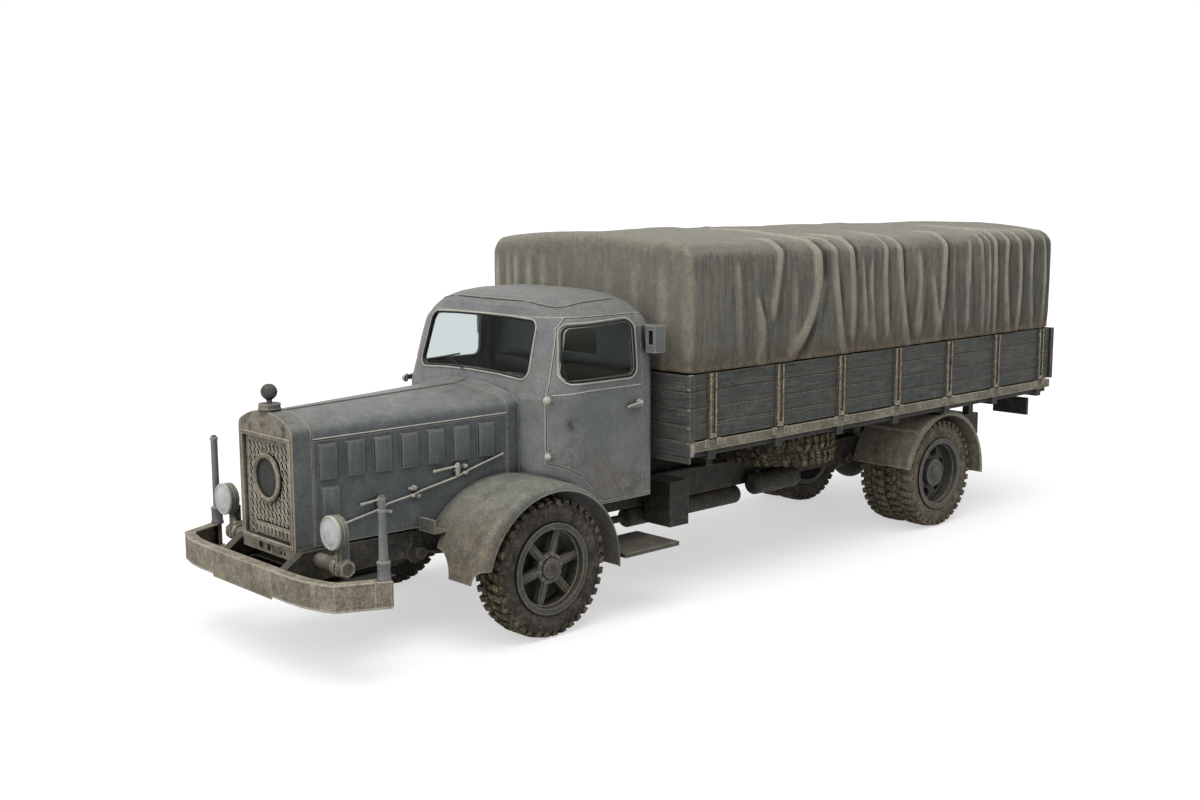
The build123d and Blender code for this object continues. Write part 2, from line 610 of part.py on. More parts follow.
for side, sign in SIDES:
    save(tyre(FRONT_AXLE_X, AXLE_Z, sign * FRONT_TYRE_Y), f"front_tyre_{side}")

    rim_part = rim(FRONT_AXLE_X, AXLE_Z, sign * FRONT_TYRE_Y)
    front_cap = hub_cap(FRONT_AXLE_X, sign, FRONT_HUB_FACE_Y)
    with BuildPart() as front_wheel:
        add(rim_part)
        with BuildSketch(outboard(FRONT_AXLE_X, sign, FRONT_HUB_FACE_Y - 20 - SPOKE_DEPTH)):
            with PolarLocations(0, SPOKES, start_angle=12):
                Polygon((60, -34), (BEAD_RADIUS - 34, -28), (BEAD_RADIUS - 34, 28), (60, 34), align=None)
        extrude(amount=SPOKE_DEPTH)
        with BuildSketch(outboard(FRONT_AXLE_X, sign, FRONT_TYRE_Y - 55)):
            Circle(HUB_RADIUS)
        extrude(amount=FRONT_HUB_FACE_Y - FRONT_TYRE_Y + 55)
        add(front_cap)
        with BuildSketch(outboard(FRONT_AXLE_X, sign, FRONT_TYRE_Y - 55)):
            Circle(HUB_BORE)
        extrude(amount=SPINDLE_END_Y + RUNNING_GAP - FRONT_TYRE_Y + 55, mode=Mode.SUBTRACT)
    save(front_wheel.part, f"front_wheel_{side}")

    with BuildPart() as rear_tyres:
        add(tyre(REAR_AXLE_X, AXLE_Z, sign * TWIN_OUTER_Y))
        add(tyre(REAR_AXLE_X, AXLE_Z, sign * TWIN_INNER_Y))
    save(rear_tyres.part, f"rear_tyres_{side}")

    outer_rim = rim(REAR_AXLE_X, AXLE_Z, sign * TWIN_OUTER_Y)
    inner_rim = rim(REAR_AXLE_X, AXLE_Z, sign * TWIN_INNER_Y)
    rear_cap = hub_cap(REAR_AXLE_X, sign, REAR_HUB_FACE_Y)
    with BuildPart() as rear_wheel:
        add(outer_rim)
        add(inner_rim)
        with BuildSketch(outboard(REAR_AXLE_X, sign, TWIN_INNER_Y + TYRE_WIDTH / 2)):
            Circle(BEAD_RADIUS - 20)
            Circle(BEAD_RADIUS - 38, mode=Mode.SUBTRACT)
        extrude(amount=TWIN_GAP)
        with BuildSketch(outboard(REAR_AXLE_X, sign, REAR_DISC_Y)):
            Circle(BEAD_RADIUS - 30)
            with PolarLocations(205, WINDOW_COUNT, start_angle=15):
                Ellipse(52, 68, mode=Mode.SUBTRACT)
            Circle(HUB_BORE, mode=Mode.SUBTRACT)
        extrude(amount=REAR_DISC_THICKNESS)
        with BuildSketch(outboard(REAR_AXLE_X, sign, TWIN_INNER_Y + 40)):
            Circle(HUB_RADIUS + 25)
        extrude(amount=REAR_HUB_FACE_Y - TWIN_INNER_Y - 40)
        add(rear_cap)
        with BuildSketch(outboard(REAR_AXLE_X, sign, TWIN_INNER_Y + 40)):
            Circle(HUB_BORE)
        extrude(amount=TWIN_OUTER_Y + 60 + RUNNING_GAP - TWIN_INNER_Y - 40, mode=Mode.SUBTRACT)
    save(rear_wheel.part, f"rear_wheel_{side}")

# spare wheel, lying flat above the left rail and outboard of it
SPARE_X = BED_FRONT_X - 1816
SPARE_Y = 600
SPARE_Z = (RAIL_TOP_Z + BEARER_BOTTOM_Z) / 2

spare_tyre_flat = tyre(SPARE_X, 0, 0)
spare_rim_flat = rim(SPARE_X, 0, 0)
with BuildPart() as spare_tyre:
    add(spare_tyre_flat.rotate(Axis((SPARE_X, 0, 0), (1, 0, 0)), 90).translate((0, SPARE_Y, SPARE_Z)))
save(spare_tyre.part, "spare_tyre")
with BuildPart() as spare_rim:
    add(spare_rim_flat.rotate(Axis((SPARE_X, 0, 0), (1, 0, 0)), 90).translate((0, SPARE_Y, SPARE_Z)))
    with BuildSketch(Plane.XY.offset(SPARE_Z - REAR_DISC_THICKNESS / 2)):
        with Locations((SPARE_X, SPARE_Y)):
            Circle(BEAD_RADIUS - 30)
            Circle(HUB_RADIUS, mode=Mode.SUBTRACT)
    extrude(amount=REAR_DISC_THICKNESS)
save(spare_rim.part, "spare_rim")

# ==== fenders and mudguards ==============================================


def guard(centre_x, centre_z, radius, lip_radius, lip_centre_x, inner_y, outer_y, shoulder, front_z, rear_z):
    """Arched sheet guard over a wheel on the left, with a turned-down outer lip."""
    front_x = centre_x + sqrt(radius ** 2 - (front_z - centre_z) ** 2)
    rear_x = centre_x - sqrt(radius ** 2 - (rear_z - centre_z) ** 2)
    with BuildPart() as sheet:
        with BuildSketch(Plane.XZ.offset(-inner_y)):
            with BuildLine():
                ThreePointArc((rear_x, rear_z), (centre_x, centre_z + radius), (front_x, front_z))
                Line((front_x, front_z), (rear_x, rear_z))
            make_face()
        extrude(amount=inner_y - outer_y)
        outer_arc = sheet.edges().filter_by(GeomType.CIRCLE).sort_by(Axis.Y)[-1]
        fillet(outer_arc, shoulder)
    with BuildPart() as hollow:
        with BuildSketch(Plane.XZ.offset(-inner_y + 1)):
            with Locations((centre_x, centre_z)):
                Circle(radius - FENDER_WALL)
        extrude(amount=inner_y - 1 - outer_y + FENDER_WALL)
        fillet(hollow.edges().filter_by(GeomType.CIRCLE).sort_by(Axis.Y)[-1], shoulder - FENDER_WALL)
    with BuildPart() as result:
        add(sheet.part)
        add(hollow.part, mode=Mode.SUBTRACT)
        add(drum(lip_centre_x, centre_z, inner_y, outer_y + 1, lip_radius), mode=Mode.SUBTRACT)
    return result.part



# ==== radiator, bonnet and cowl ==========================================
# each section: (X, half width, bottom Z, top Z, corner radius, crown radius)
RADIATOR_SECTIONS = (
    (RADIATOR_FRONT_X, RADIATOR_HALF, RADIATOR_BOTTOM_Z, RADIATOR_TOP_Z, 70, 700),
    (RADIATOR_BACK_X, BONNET_FRONT_HALF, RADIATOR_BOTTOM_Z, RADIATOR_TOP_Z, 80, 760),
)
BONNET_SECTIONS = (
    (BONNET_FRONT_X, BONNET_FRONT_HALF, BONNET_FRONT_BOTTOM_Z, BONNET_FRONT_TOP_Z, 110, 900),
    (BONNET_REAR_X, BONNET_REAR_HALF, BONNET_REAR_BOTTOM_Z, BONNET_REAR_TOP_Z, 90, 2200),
)
COWL_SECTIONS = (
    (COWL_FRONT_X, BONNET_REAR_HALF + 2, BONNET_REAR_BOTTOM_Z, BONNET_REAR_TOP_Z + 2, 90, 2200),
    (CAB_FRONT_X, BONNET_REAR_HALF + 16, BONNET_REAR_BOTTOM_Z, BONNET_REAR_TOP_Z + 30, 90, 2200),
)


def hood(sections, inset=0, stretch=0):
    """Loft between two arched sections, shrunk by inset and lengthened by stretch at each end."""
    faces = []
    for index, (x, half, bottom, top, corner, crown) in enumerate(sections):
        end = stretch if index == 0 else -stretch
        faces.append(arched(x + end, half - inset, bottom - (0 if inset == 0 else 60),
                            top - inset, corner - inset, crown - inset))
    with BuildPart() as solid:
        loft(faces, ruled=True)
    return solid.part


radiator_outer = hood(RADIATOR_SECTIONS)
with BuildPart() as radiator_shell:
    add(radiator_outer)
    block((RADIATOR_BACK_X - 1, RADIATOR_FRONT_X - BONNET_WALL), (-GRILLE_HALF - 20, GRILLE_HALF + 20),
          (RADIATOR_BOTTOM_Z + 60, GRILLE_TOP_Z + 60), mode=Mode.SUBTRACT)
    block((RADIATOR_FRONT_X - GRILLE_DEPTH, RADIATOR_FRONT_X + 1), (-GRILLE_HALF, GRILLE_HALF),
          (GRILLE_BOTTOM_Z, GRILLE_TOP_Z), mode=Mode.SUBTRACT)
    for sign in (1, -1):
        block((RADIATOR_BACK_X - 1, RADIATOR_FRONT_X + 1), sorted((sign * (RAIL_INNER_Y - 2), sign * 500)),
              (RADIATOR_BOTTOM_Z - 1, RAIL_FRONT_TOP_Z + 2), mode=Mode.SUBTRACT)

# grille: a core with a raised ring in front of it
BADGE_Z = 1290
BADGE_RADIUS = 175
BADGE_RING = 26
GRILLE_FACE_X = RADIATOR_FRONT_X - 14
CORE_BACK_X = RADIATOR_BACK_X + 20
with BuildPart() as grille:
    block((CORE_BACK_X, GRILLE_FACE_X - 26), (-GRILLE_HALF, GRILLE_HALF), (GRILLE_BOTTOM_Z, GRILLE_TOP_Z))
    with BuildSketch(Plane.YZ.offset(GRILLE_FACE_X - 27)):
        with Locations((0, BADGE_Z)):
            Circle(BADGE_RADIUS)
    extrude(amount=27)
    with BuildSketch(Plane.YZ.offset(GRILLE_FACE_X)):
        with Locations((0, BADGE_Z)):
            Circle(BADGE_RADIUS)
            Circle(BADGE_RADIUS - BADGE_RING, mode=Mode.SUBTRACT)
    extrude(amount=12)
save(grille.part, "grille")

CAP_X = RADIATOR_FRONT_X - 50
CAP_FLANGE_RADIUS = 78
CAP_BALL_RADIUS = 57
CAP_BALL_Z = 1902
with BuildPart() as radiator_cap:
    with BuildSketch(Plane.XY.offset(RADIATOR_TOP_Z - 6)):
        with Locations((CAP_X, 0)):
            Circle(34)
    extrude(amount=24)
    with BuildSketch(Plane.XY.offset(RADIATOR_TOP_Z + 14)):
        with Locations((CAP_X, 0)):
            Circle(CAP_FLANGE_RADIUS)
    extrude(amount=34)
    with BuildSketch(Plane.XY.offset(RADIATOR_TOP_Z + 40)):
        with Locations((CAP_X, 0)):
            Circle(20)
    extrude(amount=CAP_BALL_Z - RADIATOR_TOP_Z - 40)
    with Locations((CAP_X, 0, CAP_BALL_Z)):
        Sphere(CAP_BALL_RADIUS)
    add(radiator_outer, mode=Mode.SUBTRACT)
with BuildPart() as capped_radiator:
    add(radiator_shell.part)
    add(radiator_cap.part)
save(capped_radiator.part, "radiator_shell")

bonnet_outer = hood(BONNET_SECTIONS)
bonnet_inner = hood(BONNET_SECTIONS, BONNET_WALL, 1)
HINGE_HALF_GAP = HINGE_RADIUS + CLEARANCE
ABOVE = BONNET_REAR_TOP_Z + 200
BELOW = BONNET_FRONT_BOTTOM_Z - 100
above_crease = side_prism([(BONNET_FRONT_X + 5, CREASE_FRONT_Z + CLEARANCE / 2),
                           (BONNET_REAR_X - 5, CREASE_REAR_Z + CLEARANCE / 2),
                           (BONNET_REAR_X - 5, ABOVE), (BONNET_FRONT_X + 5, ABOVE)], -1000, 1000)
below_crease = side_prism([(BONNET_FRONT_X + 5, CREASE_FRONT_Z - CLEARANCE / 2),
                           (BONNET_REAR_X - 5, CREASE_REAR_Z - CLEARANCE / 2),
                           (BONNET_REAR_X - 5, BELOW), (BONNET_FRONT_X + 5, BELOW)], -1000, 1000)

for side, sign in SIDES:
    with BuildPart() as bonnet:
        add(bonnet_outer)
        add(bonnet_inner, mode=Mode.SUBTRACT)
        add(above_crease, mode=Mode.INTERSECT)
        block((BONNET_REAR_X - 10, BONNET_FRONT_X + 10), sorted((sign * HINGE_HALF_GAP, -sign * 1000)),
              (BELOW, ABOVE), mode=Mode.SUBTRACT)
    save(bonnet.part, f"bonnet_{side}")

# side panels with raised vent plates: (distance behind the bonnet's front, plate's top Z)
VENT_WIDTH = 130
VENT_HEIGHT = 250
VENT_PROUD = 10
VENTS = [(105 + 210 * k, 1555 + 4 * k) for k in range(7)]
VENTS.append((118, 1250))
with BuildPart() as bonnet_sides:
    add(bonnet_outer)
    add(bonnet_inner, mode=Mode.SUBTRACT)
    add(below_crease, mode=Mode.INTERSECT)
    for back, top_z in VENTS:
        vent_x = BONNET_FRONT_X - back
        face_y = between(BONNET_FRONT_HALF, BONNET_REAR_HALF, vent_x)
        slope = (BONNET_REAR_HALF - BONNET_FRONT_HALF) / (BONNET_FRONT_X - BONNET_REAR_X)
        for sign in (1, -1):
            with BuildSketch(Plane(origin=(vent_x, sign * (face_y - 2), top_z - VENT_HEIGHT / 2),
                                   x_dir=(1, -sign * slope, 0), z_dir=(slope, sign, 0))):
                Rectangle(VENT_WIDTH, VENT_HEIGHT)
            extrude(amount=VENT_PROUD + 2)
save(bonnet_sides.part, "bonnet_sides")

# cowl with the strip that both halves of the bonnet hinge on
cowl_outer = hood(COWL_SECTIONS)
cowl_inner = hood(COWL_SECTIONS, BONNET_WALL + 4, 1)
with BuildPart() as cowl:
    add(cowl_outer)
    add(cowl_inner, mode=Mode.SUBTRACT)
    with BuildSketch(Plane(origin=(BONNET_REAR_X - 2 * CLEARANCE, 0, BONNET_REAR_TOP_Z),
                           z_dir=(BONNET_FRONT_X - BONNET_REAR_X, 0, BONNET_FRONT_TOP_Z - BONNET_REAR_TOP_Z))):
        Circle(HINGE_RADIUS)
    extrude(amount=BONNET_FRONT_X - BONNET_REAR_X + 3 * CLEARANCE - 2)
save(cowl.part, "cowl")

# ==== cab ================================================================
SCREEN_LEAN = (SCREEN_TOP_SETBACK - SCREEN_BASE_SETBACK) / (ROOF_EDGE_Z - SCREEN_BASE_Z)
CAB_SECTIONS = (
    # z, front wall's setback, rear wall's, half width, front corner, rear corner, how far it faces up
    (CAB_BOTTOM_Z, 0, 0, CAB_HALF, FRONT_CORNER, REAR_CORNER, -1),
    (SCUTTLE_Z, 0, 0, CAB_HALF, FRONT_CORNER, REAR_CORNER, 0),
    (SCREEN_BASE_Z, SCREEN_BASE_SETBACK, 0, CAB_HALF, FRONT_CORNER, REAR_CORNER, 0),
    (ROOF_EDGE_Z - 255, SCREEN_TOP_SETBACK - 255 * SCREEN_LEAN, 0, CAB_HALF - 15, FRONT_CORNER + 5, REAR_CORNER, 0),
    (ROOF_EDGE_Z - 100, SCREEN_TOP_SETBACK - 100 * SCREEN_LEAN, 0, CAB_HALF - 32, FRONT_CORNER + 10, REAR_CORNER + 5, 0.1),
    (ROOF_EDGE_Z - 47, SCREEN_TOP_SETBACK - 47 * SCREEN_LEAN, 5, CAB_HALF - 59, FRONT_CORNER + 12, REAR_CORNER + 15, 0.3),
    (ROOF_EDGE_Z, SCREEN_TOP_SETBACK, 18, CAB_ROOF_HALF, FRONT_CORNER + 10, REAR_CORNER + 30, 0.5),
    (ROOF_TOP_Z - 112, SCREEN_TOP_SETBACK + 25, 35, CAB_ROOF_HALF - 88, FRONT_CORNER, REAR_CORNER + 40, 0.75),
    (ROOF_TOP_Z - 75, SCREEN_TOP_SETBACK + 60, 60, CAB_ROOF_HALF - 160, FRONT_CORNER - 10, REAR_CORNER + 55, 0.85),
    (ROOF_TOP_Z - 45, SCREEN_TOP_SETBACK + 105, 92, CAB_ROOF_HALF - 243, FRONT_CORNER - 30, REAR_CORNER + 70, 0.9),
    (ROOF_TOP_Z - 18, SCREEN_TOP_SETBACK + 185, 150, CAB_ROOF_HALF - 370, FRONT_CORNER - 60, REAR_CORNER + 80, 0.95),
    (ROOF_TOP_Z, SCREEN_TOP_SETBACK + 325, 240, CAB_ROOF_HALF - 580, FRONT_CORNER - 160, REAR_CORNER + 20, 1),
)


def cab_face(z, front_x, rear_x, half, front_corner, rear_corner):
    """Plan outline of the cab at height z."""
    with BuildSketch(Plane.XY.offset(z)) as face:
        with BuildLine():
            for sign in (1, -1):
                Line((rear_x + rear_corner, sign * half), (front_x - front_corner, sign * half))
                RadiusArc((front_x - front_corner, sign * half), (front_x, sign * (half - front_corner)),
                          sign * front_corner)
                RadiusArc((rear_x, sign * (half - rear_corner)), (rear_x + rear_corner, sign * half),
                          sign * rear_corner)
            Line((front_x, half - front_corner), (front_x, front_corner - half))
            Line((rear_x, half - rear_corner), (rear_x, rear_corner - half))
        make_face()
    return face.sketch


def cab_body(inset):
    """Whole cab as one block, every wall moved in by inset."""
    with BuildPart() as solid:
        for z, front, rear, half, front_corner, rear_corner, up in CAB_SECTIONS:
            add(cab_face(z - inset * up, CAB_FRONT_X - front - inset, CAB_REAR_X + rear + inset, half - inset,
                         front_corner - inset, rear_corner - inset))
        loft(ruled=True)
    return solid.part


cab_outer = cab_body(0)
cab_hollow = cab_body(CAB_WALL)
glass_outer = cab_body(GLASS_INSET)
glass_inner = cab_body(GLASS_INSET + GLASS_THICKNESS)

# windscreen: (half width, Z) at its foot and top; door and rear windows as outlines
SCREEN_HALF_FOOT = 668
SCREEN_HALF_TOP = 640
SCREEN_FOOT_Z = 1887
SCREEN_HEAD_Z = 2306
SCREEN_CORNER = 70
SCREEN_ARCH = 28
with BuildPart() as screen_space:
    with BuildSketch(Plane.YZ.offset(CAB_FRONT_X - 400)):
        with BuildLine():
            ThreePointArc((-SCREEN_HALF_FOOT, SCREEN_FOOT_Z), (0, SCREEN_FOOT_Z + SCREEN_ARCH),
                          (SCREEN_HALF_FOOT, SCREEN_FOOT_Z))
            Line((SCREEN_HALF_FOOT, SCREEN_FOOT_Z), (SCREEN_HALF_TOP, SCREEN_HEAD_Z))
            ThreePointArc((SCREEN_HALF_TOP, SCREEN_HEAD_Z), (0, SCREEN_HEAD_Z + SCREEN_ARCH / 2),
                          (-SCREEN_HALF_TOP, SCREEN_HEAD_Z))
            Line((-SCREEN_HALF_TOP, SCREEN_HEAD_Z), (-SCREEN_HALF_FOOT, SCREEN_FOOT_Z))
        make_face()
    extrude(amount=600)
    fillet(screen_space.edges().filter_by(Axis.X), SCREEN_CORNER)

REAR_WINDOW_HALF = 360
REAR_WINDOW_LOW_Z = 1960
REAR_WINDOW_HIGH_Z = 2230
with BuildPart() as rear_window_space:
    block((CAB_REAR_X - 50, CAB_REAR_X + 200), (-REAR_WINDOW_HALF, REAR_WINDOW_HALF),
          (REAR_WINDOW_LOW_Z, REAR_WINDOW_HIGH_Z))
    fillet(rear_window_space.edges().filter_by(Axis.X), 40)

# door outline: straight rear edge, front edge following the pillar
DOOR_CUT_Y = 700


def front_wall_x(z):
    """X of the cab's outer front face at height z, above the scuttle."""
    return CAB_FRONT_X - SCREEN_BASE_SETBACK - SCREEN_LEAN * (z - SCREEN_BASE_Z)


def door_outline(grow):
    """Door's side outline, grown by the gap around it; its front edge follows the pillar."""
    pillar_x = grow - DOOR_FRONT_SETBACK
    return side_prism([
        (DOOR_REAR_X - grow, DOOR_BOTTOM_Z - grow),
        (DOOR_FRONT_X + grow, DOOR_BOTTOM_Z - grow),
        (DOOR_FRONT_X + grow, SCUTTLE_Z),
        (front_wall_x(SCREEN_BASE_Z) + pillar_x, SCREEN_BASE_Z),
        (front_wall_x(DOOR_TOP_Z - 70) + pillar_x, DOOR_TOP_Z - 70),
        (front_wall_x(DOOR_TOP_Z) + pillar_x - 60, DOOR_TOP_Z + grow),
        (DOOR_REAR_X - grow, DOOR_TOP_Z + grow),
    ], DOOR_CUT_Y, 1100)


WINDOW_PILLAR = 40
WINDOW_REAR_X = DOOR_REAR_X + 82
WINDOW_LOW_Z = 1878
WINDOW_HIGH_Z = 2262
WINDOW_RISE = 24
with BuildPart() as window_space:
    add(side_prism([
        (WINDOW_REAR_X, WINDOW_LOW_Z),
        (front_wall_x(WINDOW_LOW_Z) - DOOR_FRONT_SETBACK - WINDOW_PILLAR, WINDOW_LOW_Z),
        (front_wall_x(WINDOW_HIGH_Z) - DOOR_FRONT_SETBACK - WINDOW_PILLAR, WINDOW_HIGH_Z),
        (WINDOW_REAR_X, WINDOW_HIGH_Z + WINDOW_RISE),
    ], DOOR_CUT_Y, 1100))
    fillet(window_space.edges().filter_by(Axis.Y), 60)

ARCH_INNER_Y = FENDER_INNER_Y + 60
door_arch = drum(FENDER_X, FENDER_CENTRE_Z, 400, 1200, FENDER_RADIUS + DOOR_ARCH_GAP)
door_arch_edge = drum(FENDER_X, FENDER_CENTRE_Z, 400, 1200, FENDER_RADIUS + DOOR_ARCH_GAP - CLEARANCE)
wheel_arch = drum(FENDER_X, FENDER_CENTRE_Z, ARCH_INNER_Y, 1200, FENDER_RADIUS + 2)

door_gap = door_outline(CLEARANCE)
door_shape = door_outline(0)
with BuildPart() as door_opening:
    add(door_gap)
    add(door_arch_edge, mode=Mode.SUBTRACT)
    mirror(about=Plane.XZ)

with BuildPart() as cab_shell:
    add(cab_outer)
    add(cab_hollow, mode=Mode.SUBTRACT)
    add(screen_space.part, mode=Mode.SUBTRACT)
    add(rear_window_space.part, mode=Mode.SUBTRACT)
    add(door_opening.part, mode=Mode.SUBTRACT)
    add(wheel_arch, mode=Mode.SUBTRACT)
    add(wheel_arch.mirror(Plane.XZ), mode=Mode.SUBTRACT)

ROOF_SPLIT_Z = DOOR_TOP_Z + CLEARANCE
FLOOR_SPLIT_Z = CAB_BOTTOM_Z + CAB_WALL
WIDE = CAB_HALF + 100
REAR_SPLIT_X = DOOR_REAR_X - CLEARANCE
CAB_SPLITS = (
    # node, X span, Z span
    ("cab_roof", (CAB_REAR_X - 10, CAB_FRONT_X + 10), (ROOF_SPLIT_Z, ROOF_TOP_Z + 10)),
    ("cab_floor", (CAB_REAR_X - 10, CAB_FRONT_X + 10), (CAB_BOTTOM_Z - 10, FLOOR_SPLIT_Z)),
    ("cab_rear", (CAB_REAR_X - 10, REAR_SPLIT_X), (FLOOR_SPLIT_Z, ROOF_SPLIT_Z)),
    ("cab_front", (REAR_SPLIT_X, CAB_FRONT_X + 10), (FLOOR_SPLIT_Z, ROOF_SPLIT_Z)),
)
for name, x_span, z_span in CAB_SPLITS:
    with BuildPart() as panel:
        add(cab_shell.part)
        block(x_span, (-WIDE, WIDE), z_span, mode=Mode.INTERSECT)
    save(panel.part, name)

with BuildPart() as windscreen:
    add(glass_outer)
    add(glass_inner, mode=Mode.SUBTRACT)
    add(screen_space.part, mode=Mode.INTERSECT)
with BuildPart() as rear_window:
    add(glass_outer)
    add(glass_inner, mode=Mode.SUBTRACT)
    add(rear_window_space.part, mode=Mode.INTERSECT)
with BuildPart() as cab_glass:
    add(windscreen.part)
    add(rear_window.part)
save(cab_glass.part, "cab_glass")

with BuildPart() as door_blank:
    add(cab_outer)
    add(cab_hollow, mode=Mode.SUBTRACT)
    add(door_shape, mode=Mode.INTERSECT)
    add(door_arch, mode=Mode.SUBTRACT)
    add(window_space.part, mode=Mode.SUBTRACT)

with BuildPart() as glass_blank:
    add(glass_outer)
    add(glass_inner, mode=Mode.SUBTRACT)
    add(window_space.part, mode=Mode.INTERSECT)

# ball hinges stand just outside the door's front edge
DOOR_HINGE_X = CAB_FRONT_X - 54
DOOR_HINGE_Y = CAB_HALF - 88
DOOR_HINGE_RADIUS = 11
DOOR_HINGE_ZS = (1327, 1753)
DOOR_HINGE_HEIGHT = 56
HANDLE_X = DOOR_REAR_X + 40
HANDLE_Z = 1632
with BuildPart() as dressed_door:
    add(door_blank.part)
    for hinge_z in DOOR_HINGE_ZS:
        with BuildSketch(Plane.XY.offset(hinge_z - DOOR_HINGE_HEIGHT / 2)):
            with Locations((DOOR_HINGE_X, DOOR_HINGE_Y)):
                Circle(DOOR_HINGE_RADIUS)
        extrude(amount=DOOR_HINGE_HEIGHT)
        block((DOOR_HINGE_X - 78, DOOR_HINGE_X), (DOOR_HINGE_Y - 6, DOOR_HINGE_Y + 6),
              (hinge_z - DOOR_HINGE_HEIGHT / 2 + 8, hinge_z + DOOR_HINGE_HEIGHT / 2 - 8))
    add(drum(HANDLE_X, HANDLE_Z, CAB_HALF - 10, CAB_HALF + 8, 26))
    add(drum(HANDLE_X, HANDLE_Z, CAB_HALF, CAB_HALF + 42, 11))
    block((HANDLE_X - 12, HANDLE_X + 118), (CAB_HALF + 26, CAB_HALF + 42), (HANDLE_Z - 10, HANDLE_Z + 10))

for side, sign in SIDES:
    door = dressed_door.part if sign > 0 else dressed_door.part.mirror(Plane.XZ)
    glass = glass_blank.part if sign > 0 else glass_blank.part.mirror(Plane.XZ)
    save(door, f"door_{side}")
    save(glass, f"door_glass_{side}")

# fenders carry on inwards to the bonnet's side, under the cab's corner
fender_sheet = guard(FENDER_X, FENDER_CENTRE_Z, FENDER_RADIUS, FENDER_LIP_RADIUS, FRONT_AXLE_X,
                     FENDER_INNER_Y, FENDER_OUTER_Y, FENDER_SHOULDER, FENDER_FRONT_Z, FENDER_REAR_Z)
# the nose tucks in to a round corner each side, and a stay ties it to the rail
NOSE_BACK_X = FENDER_X + 330
NOSE_FRONT_X = FENDER_X + FENDER_RADIUS + 10
NOSE_INNER_Y = 650
NOSE_TOP_Z = 838
NOSE_INNER_CORNER = 190
NOSE_OUTER_CORNER = 105
STAY_FRONT_X = 3190
STAY_LENGTH = 150
STAY_LOW_Z = 838
STAY_HIGH_Z = 940
with BuildPart() as nose_trim:
    block((NOSE_BACK_X, NOSE_FRONT_X), (FENDER_INNER_Y - 1, FENDER_OUTER_Y + 1), (FENDER_FRONT_Z - 60, NOSE_TOP_Z))
    with BuildSketch(Plane.YZ.offset(NOSE_BACK_X)):
        with BuildLine():
            Polyline((NOSE_INNER_Y, NOSE_TOP_Z), (NOSE_INNER_Y, FENDER_FRONT_Z + NOSE_INNER_CORNER))
            RadiusArc((NOSE_INNER_Y, FENDER_FRONT_Z + NOSE_INNER_CORNER),
                      (NOSE_INNER_Y + NOSE_INNER_CORNER, FENDER_FRONT_Z), NOSE_INNER_CORNER)
            Line((NOSE_INNER_Y + NOSE_INNER_CORNER, FENDER_FRONT_Z), (FENDER_OUTER_Y - NOSE_OUTER_CORNER, FENDER_FRONT_Z))
            RadiusArc((FENDER_OUTER_Y - NOSE_OUTER_CORNER, FENDER_FRONT_Z),
                      (FENDER_OUTER_Y, FENDER_FRONT_Z + NOSE_OUTER_CORNER), NOSE_OUTER_CORNER)
            Polyline((FENDER_OUTER_Y, FENDER_FRONT_Z + NOSE_OUTER_CORNER), (FENDER_OUTER_Y, NOSE_TOP_Z),
                     (NOSE_INNER_Y, NOSE_TOP_Z))
        make_face()
    extrude(amount=NOSE_FRONT_X - NOSE_BACK_X, mode=Mode.SUBTRACT)
with BuildPart() as fenders:
    add(fender_sheet)
    add(nose_trim.part, mode=Mode.SUBTRACT)
    block((STAY_FRONT_X - STAY_LENGTH, STAY_FRONT_X), (RAIL_OUTER_Y, NOSE_INNER_Y + 40), (STAY_LOW_Z, STAY_LOW_Z + 14))
    block((STAY_FRONT_X - 12, STAY_FRONT_X), (RAIL_OUTER_Y, NOSE_INNER_Y + 40), (STAY_LOW_Z, STAY_HIGH_Z))
    add(bonnet_outer, mode=Mode.SUBTRACT)
    add(cowl_outer, mode=Mode.SUBTRACT)
    block((CAB_REAR_X, CAB_FRONT_X), (0, ARCH_INNER_Y), (FENDER_CENTRE_Z, BELT_Z), mode=Mode.SUBTRACT)
    mirror(about=Plane.XZ)
save(fenders.part, "fenders")

MUDGUARD_CENTRE_Z = BEARER_BOTTOM_Z - 4 - MUDGUARD_RADIUS
MUDGUARD_STAY_REACH = 420
mudguard_sheet = guard(REAR_AXLE_X, MUDGUARD_CENTRE_Z, MUDGUARD_RADIUS, MUDGUARD_LIP_RADIUS, REAR_AXLE_X,
                       MUDGUARD_INNER_Y, MUDGUARD_OUTER_Y, MUDGUARD_SHOULDER, MUDGUARD_FRONT_Z, MUDGUARD_REAR_Z)
with BuildPart() as mudguards:
    add(mudguard_sheet)
    for stay_x in (REAR_AXLE_X + MUDGUARD_STAY_REACH, REAR_AXLE_X - MUDGUARD_STAY_REACH):
        block((stay_x - 20, stay_x + 20), (RAIL_OUTER_Y - 60, MUDGUARD_OUTER_Y - 60),
              (MUDGUARD_STAY_Z, MUDGUARD_STAY_Z + 30))
        block((stay_x - 20, stay_x + 20), (RAIL_OUTER_Y - 60, RAIL_OUTER_Y), (RAIL_TOP_Z, MUDGUARD_STAY_Z))
    mirror(about=Plane.XZ)
save(mudguards.part, "mudguards")

